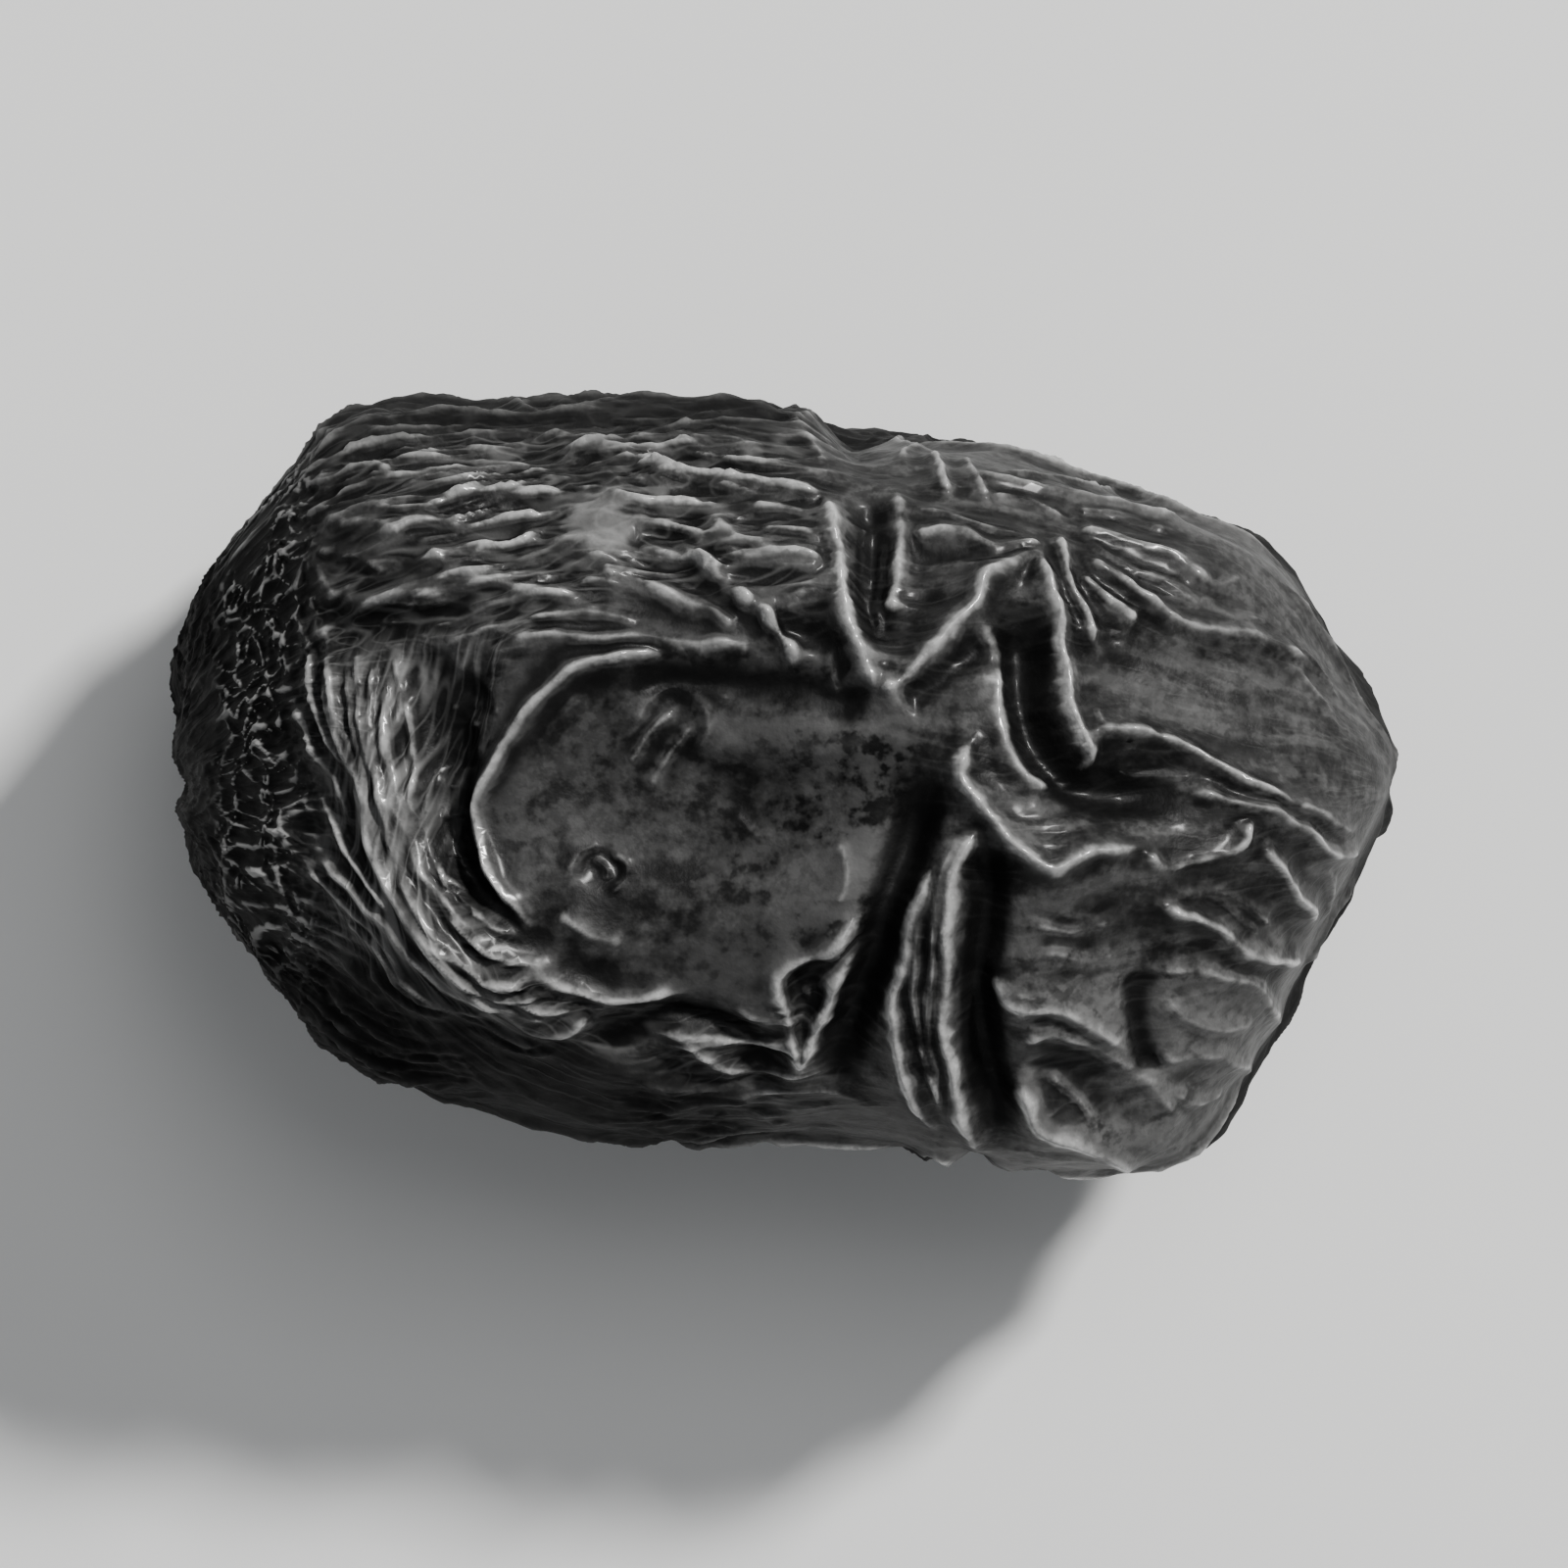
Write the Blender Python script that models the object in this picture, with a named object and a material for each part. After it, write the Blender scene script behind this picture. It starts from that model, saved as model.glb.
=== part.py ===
"""One ajwa date, whole and dried, lying on its side.

The fruit is a single solid: a blunt barrel with flats pressed into it, whose skin has shrunk
into basins, furrows and sharp folds. Its length lies along X, with the puckered stem scar at
-X and the faceted tip at +X. It rests on a small flat spot round the origin.

The scene is in metres. Every size below is in millimetres, in the fruit's own frame: X along
it, Y across it, Z up, measured from its middle until the last step sets it on its flat spot.
"""

import bmesh
import bpy
import numpy as np

MM = 0.001

# Driving sizes
LENGTH = 32.6
WIDTH = 20.9
HEIGHT = 17.8

# The spot it rests on: a low swell under the fruit, pressed level
REST_RADIUS = 3.4
REST_SWELL = 0.55
FLAT_DEPTH = 0.45

# The grid that the skin is worked out on, and the triangles that are kept of it
AROUND = 320
ALONG = 220
TRIANGLES_KEPT = 10600

# How much closer together the grid's points are on the upper side, which has the most folds
TOP_CROWDING = 0.25

# How tightly the flats of the barrel meet, and how blunt its ends are: 1 is an ellipse's end
FLAT_SHARPNESS = 32.0
END_BLUNTNESS = 0.75

# Flats of the barrel: the way each faces, and its distance from the middle of the fruit
FLATS = (
    # Its outline from above, from the stem end round the near side to the tip
    ((-1.00, 0.02, 0.06), 16.6),
    ((-0.80, -0.60, -0.04), 14.0),
    ((-0.36, -0.93, -0.07), 10.4),
    ((-0.12, -1.00, -0.08), 9.1),
    ((0.06, -1.00, -0.04), 10.35),
    ((0.875, -0.485, 0.06), 14.45),
    ((0.87, 0.49, 0.10), 14.65),
    ((0.31, 0.95, 0.00), 9.9),
    ((-0.02, 1.00, -0.05), 9.9),
    ((-0.74, 0.67, 0.02), 15.3),
    # Its upper side
    ((0.00, 0.05, 1.00), 9.2),
    ((-0.40, 0.04, 0.92), 10.9),
    ((-0.80, 0.04, 0.60), 14.4),
    ((0.00, 0.55, 0.84), 9.6),
    ((-0.05, 0.84, 0.54), 10.2),
    ((-0.06, -0.55, 0.84), 9.5),
    ((-0.10, -0.86, 0.50), 9.9),
    ((0.40, 0.22, 0.89), 10.8),
    ((0.66, 0.34, 0.67), 13.3),
    ((0.26, 0.72, 0.64), 10.5),
    ((0.40, -0.45, 0.80), 11.5),
    ((0.62, -0.62, 0.48), 13.9),
    ((0.72, -0.30, 0.62), 13.7),
    ((-0.62, -0.52, 0.58), 13.3),
    ((-0.60, 0.58, 0.55), 14.7),
    # Its underside
    ((0.17, 0.04, -0.98), 8.9),
    ((-0.17, 0.02, -0.98), 8.9),
    ((0.03, 0.24, -0.97), 8.9),
    ((-0.02, -0.24, -0.97), 8.9),
    ((0.05, 0.62, -0.79), 9.1),
    ((0.02, 0.88, -0.47), 9.7),
    ((-0.05, -0.58, -0.81), 9.0),
    ((0.02, -0.88, -0.47), 9.5),
    ((0.46, 0.05, -0.88), 10.9),
    ((0.80, 0.05, -0.60), 14.4),
    ((-0.42, 0.00, -0.90), 10.9),
    ((-0.80, 0.02, -0.60), 14.3),
    ((0.72, -0.42, -0.52), 13.8),
    ((0.70, 0.46, -0.54), 13.8),
    ((-0.62, -0.56, -0.55), 13.0),
    ((-0.60, 0.60, -0.53), 14.6),
)

# Hollows and swellings of the upper side: middle, half-lengths, turn in degrees, height
HOLLOWS = (
    ((2.6, 10.4), (2.6, 2.2), 0, -0.70),
    ((1.0, -10.4), (3.6, 2.2), 0, -0.60),
    ((-3.4, -0.5), (4.2, 3.3), 0, -1.35),
    ((1.2, -1.6), (3.0, 3.2), -35, -0.45),
    ((-4.8, 6.6), (1.1, 0.9), 0, 0.30),
    ((-0.3, 5.7), (2.2, 1.2), -12, 0.35),
    ((3.2, 5.0), (1.0, 2.0), 0, -0.35),
    ((10.8, 2.6), (4.2, 2.2), -12, -0.36),
    ((8.2, -3.9), (2.4, 1.4), 0, -0.35),
    ((7.8, -7.7), (1.6, 1.0), -20, -0.45),
    ((11.4, -6.0), (1.7, 1.0), 0, 0.20),
    ((11.3, -2.6), (1.4, 0.8), -15, -0.30),
    ((0.5, -5.5), (0.6, 1.1), -15, -0.45),
)

# The sides that routes are drawn on: the two axes seen, the axis looked along, and its sign
SIDES = {
    "top": (0, 1, 2, 1.0),
    "near": (0, 2, 1, -1.0),
    "far": (0, 2, 1, 1.0),
    "tip": (1, 2, 0, 1.0),
}

# Round-bottomed furrows: half-width, depth and route, as seen from that side
FURROWS = {"top": (
    (0.75, 0.95, (
        (6.0, 5.0), (6.4, 3.6), (6.5, 2.1), (6.9, 1.0), (7.7, 0.2), (9.2, -0.1), (11.0, -0.3),
    )),
    (0.70, 0.80, ((4.1, 0.7), (3.5, -0.9), (3.0, -2.6), (2.4, -4.6), (1.6, -6.3), (1.4, -8.0))),
    (0.65, 0.80, ((5.1, -1.2), (5.4, -2.8), (5.2, -5.0), (5.3, -7.2), (6.0, -9.4))),
    (0.60, 0.45, ((2.4, 7.6), (2.2, 5.6), (2.3, 3.4))),
    (0.55, 0.40, ((3.0, 2.1), (4.2, 2.9), (5.5, 4.0))),
    (0.50, 0.40, ((-0.6, 4.1), (0.9, 3.9), (1.7, 2.6))),
    (0.50, 0.35, ((9.5, -4.7), (9.4, -6.2), (9.7, -7.6))),
    (0.60, 0.45, ((-5.4, -6.6), (-3.4, -6.0), (-1.4, -6.4), (0.0, -7.6))),
    (0.66, 0.62, (
        (-7.6, 3.4), (-8.5, 2.3), (-8.9, 0.8), (-9.0, -0.8), (-8.6, -2.4), (-7.4, -3.9),
    )),
    (0.80, 0.40, ((-9.5, 3.9), (-9.3, 2.6), (-9.3, 1.2), (-9.2, 0.0))),
    (0.45, 0.20, ((-12.6, 4.6), (-11.0, 4.2), (-9.4, 4.2), (-8.0, 4.5))),
    (0.70, 0.45, ((-4.4, 2.9), (-2.0, 2.8), (0.6, 2.6), (2.6, 1.9))),
), "near": (
    (0.60, 0.45, ((4.6, 4.4), (5.2, 2.4), (4.8, 0.4), (5.6, -1.6), (4.8, -3.4), (5.4, -5.4))),
    (0.75, 0.40, ((-9.5, 0.2), (-5.6, 0.0), (-2.0, -0.4), (2.4, 0.2))),
    (0.70, 0.35, ((7.0, -3.0), (9.0, -2.8), (12.4, -3.0))),
), "far": (
    (0.65, 0.35, ((2.0, 5.6), (1.8, 3.2), (2.0, 0.6), (1.8, -2.2))),
    (0.75, 0.40, ((-11.0, 1.8), (-7.6, 1.6), (-3.4, 1.2))),
    (0.70, 0.35, ((5.0, 0.2), (8.0, 0.0), (12.4, 0.2))),
)}

# Round-backed swells: the one that carries the folds outside the large hollow, and a band across it
SWELLS = {"top": (
    (1.05, 0.55, (
        (-11.8, 3.7), (-11.4, 1.6), (-10.8, -0.4), (-10.2, -2.4), (-9.0, -4.2), (-7.2, -5.1),
        (-5.4, -5.4),
    )),
    (0.55, 0.28, ((-2.6, 1.2), (-0.8, 1.05), (1.0, 1.0), (2.6, 1.2))),
)}

# Sharp folds: half-width, height and route, as seen from that side
FOLDS = {"top": (
    # Rim of the large hollow, and the folds that run round it
    (0.34, 0.60, (
        (-2.9, 3.5), (-4.3, 3.3), (-5.6, 3.1), (-6.8, 2.1), (-7.5, 1.0), (-8.2, -0.1), (-8.3, -1.2),
        (-7.7, -2.6), (-6.7, -3.6),
    )),
    (0.36, 0.50, (
        (-12.1, 3.9), (-11.8, 2.2), (-11.5, 1.0), (-10.9, -0.2), (-10.7, -1.5), (-10.2, -2.8),
        (-9.2, -3.9), (-7.8, -4.5),
    )),
    (0.34, 0.44, (
        (-10.5, 3.3), (-10.5, 1.8), (-10.2, 0.2), (-9.9, -1.2), (-9.3, -2.5), (-8.3, -3.5), (-7.2, -4.1),
    )),
    (0.34, 0.46, ((-12.9, 2.2), (-12.4, 1.0), (-11.7, 0.1), (-11.3, -1.0))),
    (0.36, 0.48, (
        (-12.4, -1.5), (-11.4, -2.6), (-10.3, -3.7), (-9.3, -4.6), (-8.1, -5.2), (-6.9, -5.4),
    )),
    (0.36, 0.46, ((-11.0, -3.7), (-10.2, -4.5), (-9.2, -5.3), (-7.9, -5.8))),
    (0.34, 0.38, ((-11.0, -4.5), (-10.1, -5.3), (-9.0, -5.9))),
    (0.38, 0.54, ((-8.4, -4.6), (-6.6, -4.6), (-5.5, -5.1), (-4.3, -5.35), (-2.8, -5.3))),
    (0.40, 0.40, ((-7.6, -5.2), (-6.8, -5.9), (-6.0, -6.1), (-5.2, -5.7))),
    (0.34, 0.26, ((-6.0, -3.3), (-5.3, -3.9), (-4.4, -4.2))),
    # Lengthwise folds of the upper shoulder
    (0.40, 0.42, ((-9.5, 6.2), (-8.6, 5.5), (-7.2, 5.0), (-5.2, 4.6))),
    (0.34, 0.34, ((-7.6, 4.0), (-5.2, 3.8), (-3.4, 3.8), (-1.0, 3.6))),
    (0.34, 0.32, ((-12.4, 5.9), (-11.8, 5.0), (-10.4, 4.8), (-8.9, 5.0))),
    (0.42, 0.46, ((-4.0, 8.2), (-2.4, 7.8), (-0.6, 7.6), (1.0, 7.4))),
    (0.38, 0.42, ((-2.2, 6.8), (-1.2, 6.0), (0.0, 5.7), (1.0, 5.5))),
    (0.34, 0.46, ((-2.8, 6.0), (-2.1, 5.45), (-1.5, 4.95), (-0.9, 4.6), (-0.3, 4.2), (0.2, 3.4))),
    (0.34, 0.36, ((-3.8, 5.1), (-2.9, 4.75), (-2.0, 4.5), (-1.3, 4.0))),
    # Posts and the V between the shoulder and the hollow
    (0.40, 0.60, ((0.9, 7.4), (1.4, 6.2), (1.5, 4.8), (1.9, 3.5), (2.4, 2.4))),
    (0.46, 0.42, ((2.9, 7.6), (3.0, 6.0), (2.8, 4.4))),
    (0.40, 0.55, ((2.4, 2.4), (3.1, 2.8), (4.0, 3.6), (4.9, 4.5), (5.3, 5.3), (6.7, 5.9))),
    (0.34, 0.38, ((6.8, 6.1), (5.6, 6.05), (4.5, 6.5), (3.2, 6.6))),
    # Folds that fan out of the star point
    (0.42, 0.62, ((6.6, 5.9), (7.05, 4.7), (7.3, 3.2), (7.45, 1.9), (7.8, 1.0), (8.3, 0.5))),
    (0.36, 0.45, ((7.3, 6.4), (7.5, 5.0), (8.3, 3.6))),
    (0.34, 0.36, ((7.8, 5.4), (8.6, 4.7), (9.4, 4.2))),
    (0.36, 0.42, ((7.9, 6.0), (9.1, 5.1), (10.8, 4.2), (12.5, 3.9), (14.0, 3.3))),
    (0.34, 0.30, ((7.8, 6.5), (8.8, 6.3), (10.2, 5.9), (11.4, 5.2))),
    (0.36, 0.34, ((4.9, 8.0), (6.8, 7.6), (8.6, 7.2), (10.4, 6.9))),
    # Edge of the large end facet, and the ribs below it
    (0.44, 0.55, (
        (8.3, 1.4), (9.5, 1.4), (10.6, 1.0), (12.0, 0.15), (13.6, -0.5), (15.1, -1.1),
    )),
    (0.40, 0.50, ((10.6, -0.2), (12.3, -0.6), (13.3, -0.8), (14.3, -1.6), (15.3, -1.6))),
    (0.36, 0.40, ((12.3, -0.8), (12.0, -1.5), (11.2, -1.8), (10.1, -2.1), (9.3, -1.7))),
    (0.42, 0.52, ((10.0, -3.0), (11.2, -3.5), (12.4, -4.3), (13.8, -4.5))),
    (0.36, 0.36, ((12.6, -1.5), (13.3, -2.4), (14.1, -3.3))),
    # The S fold and the double fold across the fruit
    (0.42, 0.60, (
        (4.9, 1.1), (4.5, 0.2), (5.3, -0.55), (6.0, -1.4), (7.0, -2.1), (8.1, -1.7), (9.3, -1.6),
    )),
    (0.36, 0.36, ((5.7, 3.2), (5.8, 1.6), (6.2, 0.5), (7.1, -0.1))),
    (0.42, 0.60, ((4.0, -1.9), (3.3, -3.3), (3.0, -4.8), (2.75, -5.7), (3.1, -7.2), (3.9, -8.8))),
    (0.40, 0.52, ((5.0, -1.1), (4.4, -2.4), (4.25, -4.2), (4.2, -6.0), (4.5, -7.6), (5.1, -9.4))),
    # The small three-cornered pit
    (0.34, 0.48, (
        (1.9, -3.5), (1.2, -4.2), (-0.1, -4.8), (0.0, -5.9), (0.35, -7.0), (1.0, -5.8), (1.8, -4.3),
    )),
    # Facets of the lower tip
    (0.42, 0.40, ((5.6, -4.9), (6.0, -5.7), (7.4, -5.8), (9.2, -6.9))),
    (0.36, 0.30, ((6.3, -6.6), (7.3, -6.4), (9.2, -7.3), (10.4, -8.6))),
    (0.40, 0.42, ((6.3, -7.8), (6.7, -8.8), (8.1, -9.2), (9.4, -9.9))),
    (0.36, 0.30, ((9.8, -4.8), (11.0, -4.7), (12.4, -5.1), (13.2, -6.2))),
    (0.36, 0.28, ((9.9, -7.0), (11.2, -6.9), (12.6, -7.4))),
), "near": (
    # The double fold, run on down the side
    (0.44, 0.34, ((3.9, 4.2), (4.4, 2.6), (3.7, 0.8), (4.2, -1.0), (3.2, -2.8), (3.9, -4.9))),
    (0.40, 0.30, ((5.2, 3.4), (6.1, 1.9), (5.7, 0.2), (6.9, -1.3), (6.0, -3.2), (7.2, -5.0))),
    (0.36, 0.35, ((4.2, -1.0), (5.0, -2.2), (6.1, -3.1))),
    # Lengthwise folds and the short ones that join them
    (0.40, 0.45, (
        (-12.5, 2.6), (-9.5, 1.6), (-6.0, 2.0), (-2.5, 1.0), (1.0, 1.6), (3.6, 0.6),
    )),
    (0.38, 0.40, (
        (-11.0, -0.6), (-8.0, -1.6), (-4.5, -0.9), (-1.5, -1.8), (1.5, -1.0), (3.6, -1.4),
    )),
    (0.40, 0.45, (
        (-12.0, -3.4), (-8.5, -4.2), (-5.0, -3.6), (-2.0, -4.6), (1.2, -3.9), (4.2, -4.4),
    )),
    (0.36, 0.35, ((-6.0, 2.0), (-5.0, 0.6), (-4.4, -0.8))),
    (0.36, 0.35, ((-1.4, -1.8), (-2.4, -3.2), (-2.1, -4.5))),
    (0.36, 0.35, ((-9.0, -4.1), (-7.4, -5.6), (-4.0, -6.2), (-0.5, -5.8))),
    (0.40, 0.40, ((6.1, -1.4), (8.2, -0.8), (10.5, -1.8), (12.6, -1.2), (14.2, -2.0))),
    (0.36, 0.35, ((5.9, -4.2), (8.4, -4.8), (10.8, -4.0), (13.0, -4.6))),
    (0.36, 0.35, ((10.4, -1.8), (10.0, -3.0), (10.8, -4.0))),
    (0.36, 0.35, ((7.0, 2.6), (8.6, 1.6), (10.4, 1.8), (12.4, 0.8))),
), "far": (
    # The posts, run on down the side
    (0.40, 0.34, ((1.0, 5.8), (0.4, 3.6), (0.8, 1.2), (0.2, -1.0), (0.9, -3.4))),
    (0.38, 0.30, ((3.0, 5.2), (3.6, 3.0), (3.0, 0.8), (3.8, -1.4), (3.4, -3.8), (4.4, -5.6))),
    # Lengthwise folds and the short ones that join them
    (0.40, 0.42, ((-12.8, 3.8), (-9.6, 3.0), (-6.4, 3.6), (-3.0, 2.8), (0.2, 3.2))),
    (0.40, 0.42, ((-13.0, 0.6), (-10.0, -0.4), (-6.6, 0.4), (-3.4, -0.6), (0.4, 0.2))),
    (0.38, 0.40, (
        (-11.8, -3.0), (-8.6, -2.2), (-5.4, -3.2), (-2.4, -2.6), (0.6, -3.2), (3.6, -2.8),
    )),
    (0.36, 0.35, ((-6.6, 3.5), (-7.4, 2.0), (-6.8, 0.4))),
    (0.36, 0.35, ((-3.2, -0.6), (-2.2, -1.6), (-2.6, -2.6))),
    (0.40, 0.42, ((3.4, 1.4), (6.0, 2.2), (8.6, 1.4), (11.0, 2.2), (13.2, 1.4))),
    (0.38, 0.40, ((3.7, -1.4), (6.4, -2.2), (9.2, -1.2), (11.6, -2.0), (13.6, -1.4))),
    (0.36, 0.35, ((8.6, 1.4), (8.0, 0.0), (8.8, -1.2))),
    (0.36, 0.35, ((3.6, -3.9), (6.6, -4.6), (9.6, -3.8), (12.0, -4.6))),
    (0.36, 0.32, ((-9.0, -5.4), (-5.4, -4.8), (-2.0, -5.6), (1.6, -5.0))),
), "tip": (
    # Folds that run out from the point
    (0.42, 0.32, ((0.2, 0.4), (1.6, 1.6), (3.4, 2.0), (5.2, 3.2))),
    (0.40, 0.34, ((0.4, 0.2), (2.0, -1.0), (3.6, -2.6), (4.6, -5.0))),
    (0.40, 0.34, ((-0.2, -0.2), (-1.0, -1.8), (-0.6, -3.8), (-1.4, -6.0))),
    (0.40, 0.26, ((-0.4, 0.0), (-2.2, -0.4), (-4.2, -1.6), (-6.2, -1.4))),
    (0.36, 0.24, ((-2.2, -0.4), (-3.4, 1.0), (-4.6, 1.4))),
    (0.36, 0.32, ((-0.8, -3.8), (-2.6, -4.6), (-4.4, -5.4))),
)}

# How much the folds wind and vary, and how round their crests are
FOLD_SEED = 5
FOLD_WINDING = 0.16
CREST_ROUNDING = 0.09

# The net of folds that covers the sides and the underside
NET_SEED = 11
NET_SPACING = 5.2
NET_STRETCH = 1.35
NET_WIDTH = 0.75
NET_HEIGHT = 0.75
NET_CELLS = 16

# Fine wrinkles: their spacing across, their length along the fruit, their height, how far from
# the axis they have that spacing, the middle of those that ring the large hollow, and the radius
# at which those are as long as the others
WRINKLE_SEED = 23
WRINKLE_SPACING = 1.7
WRINKLE_LENGTH = 5.0
WRINKLE_HEIGHT = 0.26
WRINKLE_GIRTH = 8.0
RING_MIDDLE = (-3.4, -0.4)
RING_TURN = 7.0

# How much lower the wrinkles are on top of the tip, all round it, and where the fruit is widest
CALM_TIP_TOP = 0.75
CALM_TIP = 0.60
CALM_WIDEST = 0.45

# The scar where the stalk broke off, at the -X end, a little below the middle of it
SCAR_RADIUS = 1.5
SCAR_DEPTH = 1.2
SCAR_HEIGHT = -1.5
SCAR_PLEATS = 11
SCAR_PLEAT = 0.16

SKIN_COLOUR = (0.030, 0.025, 0.023, 1.0)
SKIN_ROUGHNESS = 0.42


def smoothstep(low, high, x):
    """0 below low, 1 above high, and a smooth S between them."""
    t = np.clip((x - low) / (high - low), 0.0, 1.0)
    return t * t * (3.0 - 2.0 * t)


def noise(points, seed):
    """Gradient noise, about -1 to 1, one smooth bump to each unit of space."""
    rng = np.random.default_rng(seed)
    table = rng.permutation(256)
    slopes = rng.normal(size=(256, 3))
    slopes /= np.linalg.norm(slopes, axis=1, keepdims=True)
    corner = np.floor(points).astype(int)
    inside = points - corner
    ease = inside**3 * (inside * (inside * 6.0 - 15.0) + 10.0)
    total = np.zeros(len(points))
    for step in np.ndindex(2, 2, 2):
        cell = (corner + step) % 256
        index = table[(table[(table[cell[:, 0]] + cell[:, 1]) % 256] + cell[:, 2]) % 256]
        push = np.einsum("ij,ij->i", slopes[index], inside - step)
        total += push * np.where(step, ease, 1.0 - ease).prod(axis=1)
    return total * 1.5


def drift(points, scale, amount, seed):
    """The points, each moved by up to about amount, smoothly over distances of scale."""
    moves = [noise(points / scale, seed + k) for k in range(3)]
    return points + amount * np.stack(moves, axis=1)


def gauge(points):
    """1 on the barrel, below 1 inside it: a power sum of how far each flat is reached."""
    total = np.zeros(len(points))
    for facing, distance in FLATS:
        facing = np.array(facing) / np.linalg.norm(facing)
        reach = np.maximum(points @ facing, 0.0) / distance
        total += reach**FLAT_SHARPNESS
    return total ** (1.0 / FLAT_SHARPNESS)


def barrel():
    """Points of the barrel, rings from the stem end to the tip, each ring going round +X.

    The rings are spaced evenly along a blunt-ended side, and then every point is moved along
    its line from the middle until its gauge is 1.
    """
    sweep = np.linspace(0.0, np.pi, 4000)
    far = -np.sign(np.cos(sweep)) * np.abs(np.cos(sweep)) ** END_BLUNTNESS * LENGTH / 2.0
    out = np.sin(sweep) ** END_BLUNTNESS
    steps = np.hypot(np.diff(far), np.diff(out) * WIDTH / 2.0)
    run = np.concatenate([[0.0], np.cumsum(steps)])
    even = np.linspace(0.0, run[-1], ALONG + 1)[1:-1]
    turn = np.linspace(0.0, 2.0 * np.pi, AROUND, endpoint=False)
    turn = turn + TOP_CROWDING * np.cos(turn)
    far = np.interp(even, run, far)[:, None] * np.ones(AROUND)
    out = np.interp(even, run, out)[:, None]
    across = out * np.cos(turn) * WIDTH / 2.0
    up = out * np.sin(turn) * HEIGHT / 2.0
    poles = [[-1.0, 0.0, 0.0], [1.0, 0.0, 0.0]]
    points = np.concatenate([np.stack([far, across, up], axis=-1).reshape(-1, 3), poles])
    return points / gauge(points)[:, None]


def grid_faces(points):
    """Triangles between the rings, and a fan round each pole, all facing out.

    Each four-sided patch is split along its shorter diagonal, so that crests aren't stepped.
    """
    rings = ALONG - 1
    index = np.arange(rings * AROUND).reshape(rings, AROUND)
    beside = np.roll(index, -1, axis=1)
    a, b = index[:-1].ravel(), beside[:-1].ravel()
    c, d = beside[1:].ravel(), index[1:].ravel()
    stem, tip = rings * AROUND, rings * AROUND + 1
    ac_length = np.linalg.norm(points[a] - points[c], axis=1)
    bd_length = np.linalg.norm(points[b] - points[d], axis=1)
    by_ac = (ac_length <= bd_length)[:, None]
    first = np.where(by_ac, np.stack([a, b, c], 1), np.stack([a, b, d], 1))
    second = np.where(by_ac, np.stack([a, c, d], 1), np.stack([b, c, d], 1))
    stem_fan = np.stack([np.full(AROUND, stem), beside[0], index[0]], 1)
    tip_fan = np.stack([np.full(AROUND, tip), index[-1], beside[-1]], 1)
    return np.concatenate([first, second, stem_fan, tip_fan])


def normals_of(points, faces):
    """The outward direction at each point, from the faces round it."""
    corners = points[faces]
    across = np.cross(corners[:, 1] - corners[:, 0], corners[:, 2] - corners[:, 0])
    total = np.zeros_like(points)
    for k in range(3):
        np.add.at(total, faces[:, k], across)
    return total / np.linalg.norm(total, axis=1, keepdims=True)


def laid_on(side, route):
    """A route seen from one side, rounded into a smooth curve and laid on the barrel there."""
    seen_x, seen_y, depth, sign = SIDES[side]
    route = np.array(route, float)
    ends = np.concatenate([[2 * route[0] - route[1]], route, [2 * route[-1] - route[-2]]])
    t = np.linspace(0.0, 1.0, 6, endpoint=False)[:, None]
    spans = []
    for p0, p1, p2, p3 in zip(ends, ends[1:], ends[2:], ends[3:]):
        bend = 2 * p0 - 5 * p1 + 4 * p2 - p3
        twist = 3 * p1 - p0 - 3 * p2 + p3
        spans.append(0.5 * (2 * p1 + (p2 - p0) * t + bend * t**2 + twist * t**3))
    flat = np.concatenate([*spans, route[-1:]])
    laid = np.empty((len(flat), 3))
    laid[:, [seen_x, seen_y]] = flat
    low, high = np.zeros(len(flat)), np.full(len(flat), LENGTH)
    for _ in range(30):
        middle = (low + high) / 2.0
        laid[:, depth] = sign * middle
        outside = gauge(laid) > 1.0
        high = np.where(outside, middle, high)
        low = np.where(outside, low, middle)
    return laid


def distance_to(points, route, reach):
    """Each point's distance from the route, and how far along it from 0 to 1; far points get reach."""
    distance = np.full(len(points), reach)
    along = np.zeros(len(points))
    near = np.flatnonzero(
        ((points > route.min(0) - reach) & (points < route.max(0) + reach)).all(axis=1)
    )
    place = points[near]
    best = np.full(len(near), reach)
    best_along = np.zeros(len(near))
    for k, (a, b) in enumerate(zip(route, route[1:])):
        span = b - a
        t = np.clip((place - a) @ span / (span @ span), 0.0, 1.0)
        gap = np.linalg.norm(place - a - t[:, None] * span, axis=1)
        closer = gap < best
        best = np.where(closer, gap, best)
        best_along = np.where(closer, (k + t) / (len(route) - 1), best_along)
    distance[near] = best
    along[near] = best_along
    return distance, along


def drawn(points, table, reach):
    """For each route of a table: its width, its size, and each point's distance and place along it."""
    for side, routes in table.items():
        for width, size, route in routes:
            distance, along = distance_to(points, laid_on(side, route), reach * width)
            yield width, size, distance, along


def folds(points):
    """Sharp, slightly winding crests with hollow flanks. Where folds meet, the higher one wins, softly."""
    total = np.zeros(len(points))
    wound = drift(points, 1.3, FOLD_WINDING, FOLD_SEED)
    uneven = 1.0 + 0.35 * noise(points / 1.8, FOLD_SEED + 5)
    for width, height, distance, along in drawn(wound, FOLDS, 6.0):
        taper = smoothstep(-0.02, 0.12, along) * smoothstep(-0.02, 0.12, 1.0 - along)
        rounded = np.sqrt(distance**2 + CREST_ROUNDING**2) - CREST_ROUNDING
        total += (height * (0.3 + 0.7 * taper) * np.exp(-rounded / width)) ** 4
    return uneven * total**0.25


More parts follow.
